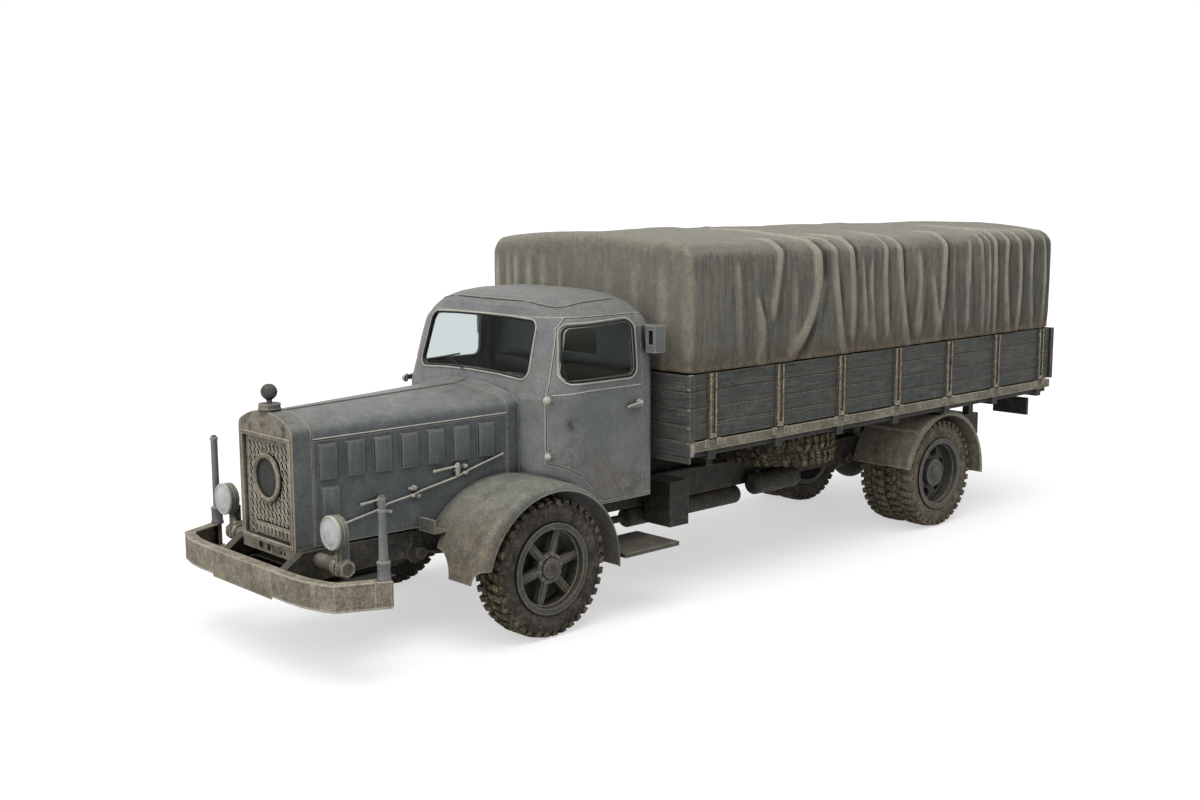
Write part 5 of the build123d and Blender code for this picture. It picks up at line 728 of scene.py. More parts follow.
# folds hanging down a side: X at the roof edge, half way down and at the hem; half width; how proud;
# where each starts and ends on the way down, from 0 to 1
FOLDS = (
    (0.56, 0.54, 0.50, 0.045, 0.010, 0.05, 1.0),
    (0.30, 0.33, 0.28, 0.040, 0.008, 0.55, 1.0),
    (0.02, 0.12, 0.24, 0.050, 0.022, -0.2, 0.62),
    (0.50, 0.30, 0.22, 0.035, 0.020, 0.42, 0.66),
    (0.20, 0.24, 0.23, 0.040, 0.024, 0.58, 1.0),
    (-0.12, -0.16, -0.10, 0.05, 0.010, 0.1, 0.9),
    (-0.46, -0.42, -0.10, 0.058, 0.034, -1.0, 1.0),
    (-0.62, -0.52, -0.36, 0.030, 0.012, 0.3, 1.0),
    (-0.70, -0.74, -0.84, 0.040, 0.022, -0.3, 1.0),
    (-0.92, -0.96, -0.93, 0.040, 0.022, -0.4, 1.0),
    (-1.06, -1.12, -1.16, 0.028, 0.014, 0.05, 0.8),
    (-1.24, -1.22, -1.30, 0.030, 0.013, 0.1, 1.0),
    (-1.44, -1.42, -1.50, 0.036, 0.020, -0.3, 0.85),
    (-1.64, -1.68, -1.80, 0.038, 0.028, -0.5, 1.0),
    (-1.92, -1.96, -1.94, 0.055, 0.014, 0.1, 0.9),
    (-2.12, -2.18, -2.30, 0.040, 0.014, 0.3, 1.0),
    (-2.36, -2.32, -2.28, 0.042, 0.024, -0.3, 1.0),
    (-2.52, -2.50, -2.58, 0.026, 0.012, 0.1, 1.0),
    (-2.78, -2.74, -2.76, 0.048, 0.016, 0.0, 0.9),
    (-2.98, -3.00, -3.02, 0.028, 0.016, -0.2, 1.0),
    (-3.10, -3.11, -3.12, 0.024, 0.018, -0.4, 1.0),
    (-3.22, -3.21, -3.24, 0.032, 0.028, -0.8, 1.0),
    (-3.45, -3.42, -3.50, 0.038, 0.022, -0.4, 1.0),
    (-3.66, -3.68, -3.64, 0.036, 0.020, -0.3, 1.0),
    (-3.90, -3.88, -3.93, 0.036, 0.018, -0.2, 1.0),
    (-4.12, -4.14, -4.12, 0.032, 0.018, -0.2, 1.0),
)
# folds down the front and the tail: Y, half width, how proud
END_FOLDS = (
    (-1.12, 0.035, 0.016), (-0.98, 0.03, 0.014), (-0.86, 0.035, 0.018), (-0.70, 0.04, 0.014),
    (-0.5, 0.05, 0.010), (-0.28, 0.05, 0.008), (0.3, 0.08, 0.006), (0.62, 0.06, 0.008), (0.95, 0.08, 0.008),
)


def roof_height(x, y):
    """Canvas height at the middle of the roof's curve: it falls to the rear; drape adds the sag between the
    bows.
    """
    rear = smoothstep(-x, -0.6, 4.2)
    return cover_high.z - 0.004 - 0.014 * rear - CROWN * min(1.0, abs(y) / COVER_HALF) ** 2.4


def cover_shape(u, v, w):
    """Point on the cover for a place (each -0.5 to 0.5) on a plain box, with its outward direction."""
    front, rear = cover_high.x - 0.004, cover_low.x + 0.004
    x = rear + (u + 0.5) * (front - rear)
    y = 2 * v * COVER_HALF
    top = roof_height(x, y)
    z = COVER_HEM + (w + 0.5) * (top - COVER_HEM)
    end = END_ROUND + (REAR_ROUND - END_ROUND) * smoothstep(-x, 2.0, 4.0)
    radii = Vector((end, SIDE_ROUND, SIDE_ROUND))
    core = Vector((min(max(x, rear + end), front - end),
                   min(max(y, -COVER_HALF + SIDE_ROUND), COVER_HALF - SIDE_ROUND), min(z, top - SIDE_ROUND)))
    scaled = Vector((p - c) / r for p, c, r in zip((x, y, z), core, radii))
    if scaled.length > 1e-6:
        scaled.normalize()
    place = core + Vector(s * r for s, r in zip(scaled, radii))
    return place, Vector(s / r for s, r in zip(scaled, radii)).normalized()


def fold_height(x, y, down):
    """Height of the hanging folds at a place on a side or beyond its roof edge, where down is negative."""
    height = 0.0
    # the right side's folds stand elsewhere than the left side's
    moved_by = 0.17 if y < 0 else 0.0
    share = min(1.0, max(0.0, down))
    if x < -0.5 and down > 0:
        # fine pleats, 88 mm apart, grow towards the tail
        pleats = math.sin(math.tau * (x + 0.03 * math.sin(3 * x + 4 * down)) / 0.088)
        uneven = 0.5 + 0.5 * noise.noise((x * 3, y, down * 2))
        height += 0.0045 * pleats * smoothstep(-x, 0.5, 1.1) * uneven
    for at_roof, at_half, at_hem, width, proud, start, end in FOLDS:
        centre = at_roof * (1 - share) * (1 - 2 * share) + at_half * 4 * share * (1 - share)
        centre += at_hem * share * (2 * share - 1)
        if down < 0:
            centre += -0.55 * down - 0.25 * down * down
        wide = 0.8 * width * (1 + 0.5 * max(0.0, share - 0.3)) * (1 + 1.4 * max(0.0, -down))
        away = (x + moved_by * math.sin(at_roof * 9) - centre) / wide
        if abs(away) > 4:
            continue
        fade = smoothstep(down, start - 0.12, start + 0.12) * (1 - smoothstep(down, end - 0.12, end + 0.14))
        # steep towards the rear, with a hollow behind the crown
        ridge = math.exp(-away * away * (0.55 if away > 0 else 1.5))
        ridge -= 0.62 * math.exp(-((away + 1.9) / 0.95) ** 2)
        uneven = 0.75 + 0.5 * noise.noise((at_roof * 7, share * 3.5, y))
        height += 1.1 * proud * fade * ridge * uneven
    return height


def drape(p, normal):
    """How far the canvas stands out at p, in metres, and how much of that is folds."""
    roof_edge = cover_high.z - 0.16
    span = roof_edge - COVER_HEM
    side = smoothstep(abs(p.y), 0.1, COVER_HALF - 0.02)
    down = (roof_edge - p.z) / span if abs(normal.y) > 0.7 else abs(p.y) - COVER_HALF
    if abs(normal.y) <= 0.7 and abs(p.y) > COVER_HALF - SIDE_ROUND:
        down = min(0.0, (roof_edge - p.z) / span)
    on_side = 1 - smoothstep(abs(normal.x), 0.2, 0.75)
    folds = 0.0
    if on_side > 0:
        folds = on_side * fold_height(p.x, p.y, down) * (1.0 if down > 0 else 0.25 + 0.75 * side)
    ends = smoothstep(abs(normal.x), 0.3, 0.9)
    low = min(1.0, max(0.0, (cover_high.z - p.z) / (cover_high.z - COVER_HEM)))
    if ends > 0:
        for place, wide, proud in END_FOLDS:
            away = (p.y - place + 0.03 * low * math.sin(place * 20)) / wide
            ridge = math.exp(-away * away) - 0.5 * math.exp(-(away - 1.8) ** 2)
            folds += ends * proud * ridge * smoothstep(low, 0.05, 0.4)
    bulge = 0.012 * math.sin(math.pi * min(1.0, max(0.0, down))) * side * on_side
    soft = 0.008 * noise.noise((p.x * 1.9, p.y * 1.9, p.z * 1.9))
    soft += 0.0025 * noise.noise((p.x * 9, p.y * 9, p.z * 4))
    bow = (p.x - 0.94) / 1.02
    sag = -0.012 * max(0.0, normal.z) ** 2 * (0.5 - 0.5 * math.cos(math.tau * bow))
    return folds + bulge + soft + sag - 0.003, folds


bm = bmesh.new()
bmesh.ops.create_cube(bm, size=1.0)
for axis, cuts in enumerate(CUTS):
    along = [e for e in bm.edges if abs((e.verts[0].co - e.verts[1].co)[axis]) > 0.5]
    bmesh.ops.subdivide_edges(bm, edges=along, cuts=cuts - 1, use_grid_fill=False)
bmesh.ops.delete(bm, geom=[f for f in bm.faces if all(v.co.z < -0.499 for v in f.verts)], context="FACES")
fold_layer = bm.verts.layers.float.new("fold_height")
for v in bm.verts:
    p, normal = cover_shape(*v.co)
    out, folds = drape(p, normal)
    hem = 1 - smoothstep(p.z, COVER_HEM + 0.01, COVER_HEM + 0.2)
    moved = p + normal * (out - 0.006 * hem)
    moved.z = max(moved.z, COVER_HEM - 0.004)
    scallop = 1 + noise.noise((p.x * 2.4, p.y * 2.4, 7.0)) + 0.5 * noise.noise((p.x * 9, p.y * 9, 3.0))
    moved.z += hem * 0.005 * scallop
    v.co = moved
    v[fold_layer] = min(1.0, max(0.0, 0.5 + folds * 26))
flat_area = sum(f.calc_area() for f in bm.faces)
cover = finish_piece(bm, "canvas_cover", canvas, "root", 80)
thick = cover.modifiers.new("cloth_thickness", "SOLIDIFY")
thick.thickness = 0.004
thick.offset = -1
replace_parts(cover, "tarp")

# ---- seats: stuffed oilcloth pads


def stuffed_pad(name, node, puff):
    """Rounded, crowned pad the size of its node."""
    low, high = (Vector(corner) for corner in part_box(node))
    size, middle = high - low, (high + low) / 2
    bm = bmesh.new()
    bmesh.ops.create_cube(bm, size=1.0)
    for axis, cuts in enumerate((12, 30, 10)):
        along = [e for e in bm.edges if abs((e.verts[0].co - e.verts[1].co)[axis]) > 0.5]
        bmesh.ops.subdivide_edges(bm, edges=along, cuts=cuts - 1)
    thin = min(range(3), key=lambda k: size[k])
    for v in bm.verts:
        q = Vector(v.co) * 2
        core = Vector(math.copysign(min(abs(q[k]), 1 - 0.12 / size[k]), q[k]) for k in range(3))
        out = Vector((q[k] - core[k]) * size[k] for k in range(3))
        if out.length > 1e-6:
            out = out.normalized() * 0.055
        p = Vector(core[k] * size[k] / 2 for k in range(3)) + out
        crown = 1.0
        for k in range(3):
            if k != thin:
                crown *= 1 - abs(q[k]) ** 3 * 0.45
        p[thin] *= 0.86 + puff * crown
        channel = math.exp(-((abs((p.y / 0.29) % 1 - 0.5)) / 0.07) ** 2)
        p[thin] *= 1 - 0.09 * channel
        v.co = middle + Vector(min(max(p[k], -size[k] / 2), size[k] / 2) for k in range(3))
    piece = finish_piece(bm, name, seat_cover, "root", 80)
    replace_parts(piece, node)


stuffed_pad("stuffed_seat_cushion", "seat_cushion", 0.14)
stuffed_pad("stuffed_seat_back", "seat_back", 0.14)

# ---- radiator: woven wire, its frame and bars, crank holes, cap
SHELL_X = 4.145
WIRE_X = 4.112
WIRE_PITCH = 0.0272
BADGE_Z = 1.29
bm = bmesh.new()
for row in range(27):
    for column in range(23):
        y = -0.30 + WIRE_PITCH * column + (WIRE_PITCH / 2 if row % 2 else 0)
        z = 0.868 + WIRE_PITCH * row
        behind_badge = math.hypot(y, z - BADGE_Z) < 0.165
        behind_foot_bar = z < 0.965 and -0.2 < y < 0.27
        if behind_badge or behind_foot_bar or abs(y) > 0.298:
            continue
        lean = math.radians(34 if (row + column // 5) % 7 else 18) + 0.25 * noise.noise((y * 9, z * 9, 2))
        placed = Matrix.Translation((WIRE_X + 0.004 * (column % 2), y, z)) @ Matrix.Rotation(lean, 4, "X")
        bmesh.ops.create_cone(bm, cap_ends=True, segments=6, radius1=0.0043, radius2=0.0043, depth=0.036,
                              matrix=placed)
finish_piece(bm, "woven_wire_mesh", mesh_paint, "root", 50)

# low Y, high Y, low Z, high Z, front X: the shell's frame ridges, then the inner border
FRAME_RIDGES = (
    (-0.345, 0.345, 1.575, 1.608, 4.156),
    (-0.345, -0.309, 0.83, 1.59, 4.154),
    (0.309, 0.345, 0.83, 1.59, 4.154),
    (-0.345, 0.345, 0.818, 0.85, 4.156),
    (-0.303, -0.262, 0.855, 1.57, 4.126),
    (-0.303, 0.303, 1.545, 1.57, 4.122),
    (0.287, 0.303, 0.855, 1.57, 4.122),
)
bm = bmesh.new()
for y0, y1, z0, z1, front in FRAME_RIDGES:
    add_block(bm, (4.1, y0, z0), (front, y1, z1), 0.007)
finish_piece(bm, "radiator_frame_ridges", bleached_paint, "root", 40)

bm = bmesh.new()
add_block(bm, (4.1, -0.215, 0.862), (4.128, 0.286, 0.952), 0.006)
for k in range(9):
    add_block(bm, (4.124, -0.19 + 0.052 * k, 0.878), (4.134, -0.152 + 0.052 * k, 0.936), 0.004)
finish_piece(bm, "radiator_foot_bar", mesh_paint, "root", 40)

# Y, Z and radius of each hole
CRANK_HOLES = ((-0.109, 0.79, 0.026), (0.004, 0.787, 0.026), (0.17, 0.775, 0.012), (0.22, 0.777, 0.012))
bm = bmesh.new()
for y, z, radius in CRANK_HOLES:
    add_turned(bm, ((-0.004, 0), (0.0, radius), (0.0015, radius), (0.0012, 0)), (SHELL_X, y, z), (1, 0, 0),
               18)
finish_piece(bm, "crank_holes", core_paint, "root", 40)

bm = bmesh.new()
ring = [(math.cos(math.tau * k / 16) * 0.018,
         0.160 + math.sin(math.tau * k / 16) * 0.020) for k in range(17)]
add_turned(bm, ring, (4.138, 0, BADGE_Z), (1, 0, 0), 64)
finish_piece(bm, "blank_badge_ring", bleached_paint, "root", 50)

bm = bmesh.new()
add_turned(bm, ((0.0, 0), (0.004, 0.05), (0.0, 0.145), (-0.006, 0.15), (-0.006, 0)), (4.133, 0, BADGE_Z),
           (1, 0, 0), 48)
finish_piece(bm, "blank_badge_disc", cast_iron, "root", 50)

# cap: a ball on a stem over a rounded, dirty flange
bm = bmesh.new()
add_turned(bm, ((-0.012, 0), (-0.012, 0.074), (0.0, 0.08), (0.012, 0.081), (0.022, 0.072), (0.027, 0.03),
                (0.05, 0.02), (0.07, 0.018), (0.078, 0.026), (0.09, 0.042), (0.106, 0.054), (0.13, 0.0595),
                (0.152, 0.055), (0.172, 0.042), (0.184, 0.024), (0.188, 0)), (4.095, 0, 1.772), (0, 0, 1),
           40)
finish_piece(bm, "ball_radiator_cap", wheel_paint, "root", 40)

# ---- bonnet: pale bead along each crease, bevelled vent covers, the long catch rod with its handles
BONNET_FRONT_X = 3.994
BONNET_LENGTH = 1.548
BONNET_FRONT_HALF = 0.385
BONNET_FLARE = 0.226
PANEL_TURN = math.atan2(BONNET_FLARE, BONNET_LENGTH)


def bonnet_side(x, z, sign, proud=0.0):
    """Point on the slanting side panel of the bonnet."""
    share = (BONNET_FRONT_X - x) / BONNET_LENGTH
    return Vector((x, sign * (BONNET_FRONT_HALF + BONNET_FLARE * share + proud), z))


for side, sign in (("left", 1), ("right", -1)):
    bm = bmesh.new()
    crease = [bonnet_side(3.992 - 0.1545 * k, 1.594 + 0.0045 * k, sign, 0.001) for k in range(11)]
    add_bead(bm, crease, 0.0055)
    finish_piece(bm, f"bonnet_crease_bead_{side}", rubbed_bead, f"bonnet_{side}", 50)

# seven covers in a row and one below the first: distance behind the bonnet's front, top Z
VENT_COVERS = [(0.105 + 0.21 * k, 1.555 + 0.004 * k) for k in range(7)] + [(0.118, 1.25)]
bm = bmesh.new()
for sign in (1, -1):
    for back, top_z in VENT_COVERS:
        centre = bonnet_side(BONNET_FRONT_X - back, top_z - 0.125, sign, 0.009)
        turn = Matrix.Rotation(-sign * PANEL_TURN, 4, "Z")
        for wide, high, out in ((0.134, 0.254, 0.015), (0.108, 0.228, 0.019)):
            half = Vector((wide / 2, out, high / 2))
            add_block(bm, centre - half, centre + half, 0.008, turn)
finish_piece(bm, "pressed_vent_covers", cover_paint, "root", 30)

# bends of the catch rod: X, Z
CATCH_ROD = ((3.86, 0.955), (3.75, 0.985), (3.53, 1.04), (3.45, 1.075), (3.26, 1.112), (3.17, 1.14),
             (2.89, 1.205), (2.78, 1.247), (2.496, 1.335))
# its knobs: X, Z, size
CATCH_KNOBS = ((3.232, 1.162, 0.022), (3.25, 1.105, 0.017), (3.205, 1.1, 0.019), (3.262, 1.158, 0.013),
               (2.817, 1.275, 0.021), (2.816, 1.225, 0.017), (3.432, 1.013, 0.017))
bm = bmesh.new()
for sign in (1, -1):
    add_bead(bm, [bonnet_side(x, z, sign, 0.024) for x, z in CATCH_ROD], 0.0075)
    for x, low_z, arm_x in ((3.515, 1.045, 3.655), (2.886, 1.215, 3.075)):
        foot = bonnet_side(x, low_z, sign, 0.028)
        add_turned(bm, ((0, 0), (0, 0.017), (0.035, 0.02), (0.06, 0.023), (0.085, 0.02), (0.095, 0.012),
                        (0.098, 0)), foot, (0, 0, 1), 18)
        start = bonnet_side(x, low_z + 0.07, sign, 0.028)
        end = bonnet_side(arm_x, low_z + 0.052, sign, 0.034)
        add_rod(bm, start, end, 0.009, 0.011)
        add_turned(bm, ((-0.012, 0), (-0.008, 0.011), (0.004, 0.014), (0.014, 0.009), (0.017, 0)), end,
                   (1, 0, 0), 12)
        add_rod(bm, foot - Vector((0, sign * 0.03, -0.03)), foot + Vector((0, 0, 0.03)), 0.012)
    for x, z, size in CATCH_KNOBS:
        knob = bonnet_side(x, z, sign, 0.0)
        add_turned(bm, ((-0.004, 0), (-0.004, size * 0.9), (0.004, size * 0.9), (0.007, size * 0.5),
                        (0.013, size * 0.5), (0.018, size * 0.8), (0.03, size * 0.85), (0.04, size * 0.5),
                        (0.043, 0)), knob, (0, sign, 0), 14)
finish_piece(bm, "bonnet_catch_rods", worn_steel, "root", 40)

# ---- headlamps: three-ringed shells, bright rims, domed glass
LAMP_FRONT_X = 4.096
LAMP_Y = 0.742
LAMP_Z = 1.012
bm = bmesh.new()
rims = bmesh.new()
domes = bmesh.new()
for sign in (1, -1):
    centre = (LAMP_FRONT_X, sign * LAMP_Y, LAMP_Z)
    add_turned(bm, ((-0.112, 0), (-0.108, 0.042), (-0.096, 0.078), (-0.08, 0.102), (-0.074, 0.116),
                    (-0.062, 0.1165), (-0.058, 0.107), (-0.051, 0.107), (-0.047, 0.1175), (-0.036, 0.1175),
                    (-0.032, 0.108), (-0.026, 0.108), (-0.022, 0.118), (-0.004, 0.118), (-0.004, 0.085)),
               centre, (1, 0, 0), 48)
    add_turned(rims, ((-0.012, 0.107), (-0.012, 0.119), (0.0, 0.1205), (0.008, 0.115), (0.008, 0.105),
                      (0.002, 0.099), (-0.012, 0.107)), centre, (1, 0, 0), 48)
    add_turned(domes, ((0.001, 0.102), (0.006, 0.093), (0.012, 0.064), (0.016, 0.03), (0.017, 0)), centre,
               (1, 0, 0), 40)
finish_piece(bm, "ringed_lamp_shells", fender_paint, "root", 40)
finish_piece(rims, "lamp_rims", rubbed_bead, "root", 40)
finish_piece(domes, "domed_lamp_glasses", lamp, "root", 60)

# clamp and hexagon nut at the ends of the lamp bar
bm = bmesh.new()
for sign in (1, -1):
    add_turned(bm, ((0, 0.052), (0, 0.064), (0.012, 0.068), (0.032, 0.068), (0.044, 0.062), (0.044, 0.052)),
               (4.0, sign * 0.665, 0.75), (0, sign, 0), 28)
    add_rod(bm, (4.0, sign * 0.727, 0.75), (4.0, sign * 0.797, 0.75), 0.066, 0.063, 6)
    add_turned(bm, ((0, 0.05), (0.004, 0.054), (0.006, 0.046), (0.001, 0.04), (0.001, 0)),
               (4.0, sign * 0.796, 0.75), (0, sign, 0), 24)
    add_block(bm, (3.955, sign * 0.70 - 0.03, 0.79), (4.045, sign * 0.70 + 0.03, 0.836), 0.012)
    add_rod(bm, (4.02, sign * 0.70, 0.82), (4.03, sign * 0.742, 0.9), 0.022, 0.018)
finish_piece(bm, "lamp_bar_clamps", bleached_paint, "root", 35)

# ---- marker rods: socket, tapered rod, collar and cap
ROD_FOOT_Z = 0.738
bm = bmesh.new()
for y, top in ((1.14, 1.305), (-1.14, 1.425)):
    height = top - ROD_FOOT_Z
    near = y > 0
    low, high = (0.033, 0.0255) if near else (0.027, 0.026)
    profile = [(0, 0.047), (0.012, 0.048), (0.022, 0.0435), (0.102, 0.0435), (0.108, 0.0475),
               (0.124, 0.0475), (0.13, 0.036), (0.136, low),
               (height - 0.105 if near else height - 0.03, high)]
    if near:
        profile += [(height - 0.104, 0.031), (height - 0.092, 0.031), (height - 0.09, 0.026),
                    (height - 0.03, 0.0275), (height - 0.008, 0.024), (height, 0.01), (height, 0)]
    else:
        profile += [(height - 0.029, 0.031), (height - 0.018, 0.032), (height - 0.006, 0.024),
                    (height, 0.01), (height, 0)]
    add_turned(bm, profile, (3.94, y, ROD_FOOT_Z), (0, 0, 1), 28)
finish_piece(bm, "collared_marker_rods", body_paint, "root", 35)

# ---- bumper: rubbed flange edges, butt straps, bolts, end posts
BUMPER_X = 4.365
# half of the bumper's line: distance behind its front, distance from the middle plane
BUMPER_LINE = ((0.0, 0.6), (0.015, 0.78), (0.058, 0.95), (0.099, 1.04), (0.265, 1.115), (0.445, 1.2))
# Y and Z of each bolt
BUMPER_BOLTS = ((-0.27, 0.58), (0.27, 0.58), (-0.27, 0.70), (0.27, 0.70), (0.0, 0.56), (0.44, 0.64),
                (-0.44, 0.64))
bm = bmesh.new()
for z in (0.5565, 0.7305):
    line = [(BUMPER_X - back, -y, z) for back, y in reversed(BUMPER_LINE)]
    line += [(BUMPER_X - back, y, z) for back, y in BUMPER_LINE]
    add_bead(bm, [(x - 0.0045, y, z) for x, y, z in line], 0.0075)
for sign in (1, -1):
    # butt straps: which stretch of the line, how far along it, half width
    for first, share, wide in ((1, 0.55, 0.012), (4, 0.5, 0.01)):
        (back_a, y_a), (back_b, y_b) = BUMPER_LINE[first:first + 2]
        place = Vector((BUMPER_X - back_a - (back_b - back_a) * share, sign * (y_a + (y_b - y_a) * share),
                        0.6435))
        along = Vector((-(back_b - back_a), sign * (y_b - y_a), 0)).normalized()
        turn = Matrix.Rotation(math.atan2(along.y, along.x) - math.pi / 2, 4, "Z")
        low = place - Vector((0.006, wide + 0.006, 0.085))
        high = place + Vector((0.003, wide + 0.006, 0.085))
        add_block(bm, low, high, 0.004, turn)
    add_block(bm, (3.9, sign * 1.168 - 0.03, 0.5505), (3.935, sign * 1.168 + 0.03, 0.7365), 0.012)
for y, z in BUMPER_BOLTS:
    face = BUMPER_X + 0.007 if abs(y) < 0.3 else BUMPER_X - 0.003
    add_turned(bm, ((-0.004, 0), (-0.004, 0.016), (0.0, 0.016), (0.0026, 0.011), (0.003, 0)), (face, y, z),
               (1, 0, 0), 12)
finish_piece(bm, "bumper_straps_and_bolts", bleached_paint, "root", 35)

# tray that closes the gap between the guard and the fenders
bm = bmesh.new()
add_block(bm, (3.46, -0.575, 0.5595), (3.95, 0.575, 0.5665), 0.001)
finish_piece(bm, "front_splash_tray", chassis_paint, "root", 35)

# ---- wheels: rim rings, ribs on the cast spokes, hub cap and nuts
RING = [(math.cos(math.tau * k / 10), math.sin(math.tau * k / 10)) for k in range(11)]


def wheel_trim(bm, x, face_y, sign, ribs):
    """Rings, cap and nuts on the outer face of a wheel, which looks along sign Y."""
    out = (0, sign, 0)
    add_turned(bm, [(0.009 * a, 0.339 + 0.0075 * b) for a, b in RING], (x, sign * (face_y - 0.003), AXLE_Z),
               out, 60)
    add_turned(bm, [(0.012 * a, 0.297 + 0.013 * b) for a, b in RING], (x, sign * (face_y - 0.018), AXLE_Z),
               out, 60)
    add_turned(bm, ((-0.02, 0.118), (-0.004, 0.118), (0.0, 0.112), (0.002, 0.094), (-0.008, 0.09)),
               (x, sign * face_y, AXLE_Z), out, 40)
    add_turned(bm, ((0.0, 0.078), (0.012, 0.078), (0.016, 0.074), (0.016, 0.064), (0.024, 0.06),
                    (0.026, 0.05), (0.03, 0.046), (0.0325, 0.02), (0.033, 0)), (x, sign * face_y, AXLE_Z),
               out, 40)
    for k in range(ribs):
        angle = math.tau * k / ribs + 0.5
        place = (x + 0.1 * math.cos(angle), sign * (face_y + 0.001), AXLE_Z + 0.1 * math.sin(angle))
        add_turned(bm, ((-0.006, 0), (-0.006, 0.0125), (0.006, 0.0125), (0.009, 0.006), (0.014, 0.005),
                        (0.014, 0)), place, out, 6)


for side, sign in (("left", 1), ("right", -1)):
    bm = bmesh.new()
    wheel_trim(bm, FRONT_AXLE_X, 1.105, sign, 10)
    for k in range(6):
        angle = math.radians(12 + 60 * k)
        along, rise = math.cos(angle), -sign * math.sin(angle)
        start = (FRONT_AXLE_X + 0.1 * along, sign * 1.088, AXLE_Z + 0.1 * rise)
        end = (FRONT_AXLE_X + 0.29 * along, sign * 1.076, AXLE_Z + 0.29 * rise)
        add_rod(bm, start, end, 0.024, 0.016, 10)
    finish_piece(bm, f"front_wheel_rings_{side}", wheel_paint, f"front_wheel_{side}", 35)
    bm = bmesh.new()
    add_turned(bm, ((0.0, 0), (0.0, 0.245), (0.012, 0.262), (0.012, 0.272), (-0.03, 0.272), (-0.03, 0)),
               (FRONT_AXLE_X, sign * 0.985, AXLE_Z), (0, sign, 0), 48)
    finish_piece(bm, f"front_brake_drum_{side}", cast_iron, f"front_wheel_{side}", 35)
    bm = bmesh.new()
    add_turned(bm, [(0.009 * a, 0.339 + 0.0075 * b) for a, b in RING], (REAR_AXLE_X, sign * 1.062, AXLE_Z),
               (0, sign, 0), 60)
    add_turned(bm, [(0.010 * a, 0.297 + 0.011 * b) for a, b in RING], (REAR_AXLE_X, sign * 1.046, AXLE_Z),
               (0, sign, 0), 60)
    for k in range(10):
        angle = math.tau * k / 10
        add_turned(bm, ((-0.004, 0), (-0.004, 0.0125), (0.01, 0.0125), (0.012, 0.006), (0.018, 0.005),
                        (0.018, 0)), (REAR_AXLE_X + 0.15 * math.cos(angle), sign * 0.969,
                                      AXLE_Z + 0.15 * math.sin(angle)), (0, sign, 0), 6)
    finish_piece(bm, f"rear_wheel_rings_{side}", wheel_paint, f"rear_wheel_{side}", 35)

# ---- cab: glazing rubber, pale window beads, belt bead, roof seam, hinge balls, door levers, wiper
cab_skin = skin("cab_front", "cab_roof", "cowl")
SCREEN = ((-0.676, 1.879), (-0.35, 1.899), (0.0, 1.907), (0.35, 1.899), (0.676, 1.879), (0.648, 2.314),
          (0.33, 2.325), (0.0, 2.328), (-0.33, 2.325), (-0.648, 2.314))
frame_line = rounded_outline([(y * 1.014, (z - 2.1) * 1.04 + 2.1) for y, z in SCREEN], 0.075)
rubber_line = rounded_outline([(y * 0.997, (z - 2.1) * 0.995 + 2.1) for y, z in SCREEN], 0.07)
bm = bmesh.new()
add_bead(bm, laid(cab_skin, [(3.4, y, z) for y, z in frame_line], (-1, 0, 0), 0.0015), 0.0085, True)
finish_piece(bm, "windscreen_frame", rubbed_bead, "root", 60)
bm = bmesh.new()
add_bead(bm, laid(cab_skin, [(3.4, y, z) for y, z in rubber_line], (-1, 0, 0), -0.001), 0.0105, True)
finish_piece(bm, "windscreen_rubber", glazing_rubber, "root", 60)

# roof panel's seam, from one rear corner round the front to the other: (X, Y)
ROOF_SEAM = ((1.33, 0.696), (1.46, 0.709), (1.587, 0.721), (1.69, 0.728), (1.778, 0.734), (1.874, 0.741),
             (1.94, 0.738), (1.985, 0.724), (2.018, 0.70), (2.045, 0.655), (2.07, 0.59), (2.083, 0.5),
             (2.089, 0.38), (2.091, 0.25), (2.092, 0.1))
seam = list(ROOF_SEAM) + [(x, -y) for x, y in reversed(ROOF_SEAM)]
bm = bmesh.new()
add_bead(bm, laid(cab_skin, [(x, y, 3.2) for x, y in seam], (0, 0, -1), 0.0), 0.006)
finish_piece(bm, "roof_seam_bead", body_paint, "root", 60)
# its shadow lies 9 mm farther out: ahead across the front, sideways along the sides
shadow = [(x + (0.009 if x > 2.0 else 0), y + (math.copysign(0.009, y) if x < 2.06 else 0)) for x, y in seam]
bm = bmesh.new()
add_bead(bm, laid(cab_skin, [(x, y, 3.2) for x, y in shadow], (0, 0, -1), -0.003), 0.0055)
finish_piece(bm, "roof_seam_shadow_line", glazing_rubber, "root", 60)

# side window's corners: X, Z
WINDOW = ((1.462, 1.878), (2.156, 1.878), (2.075, 2.262), (1.462, 2.286))


def window_line(grow, radius):
    """Outline round the side window, standing off it all round."""
    return rounded_outline([(x + math.copysign(grow, x - 1.79), z + math.copysign(grow, z - 2.08))
                            for x, z in WINDOW], radius)


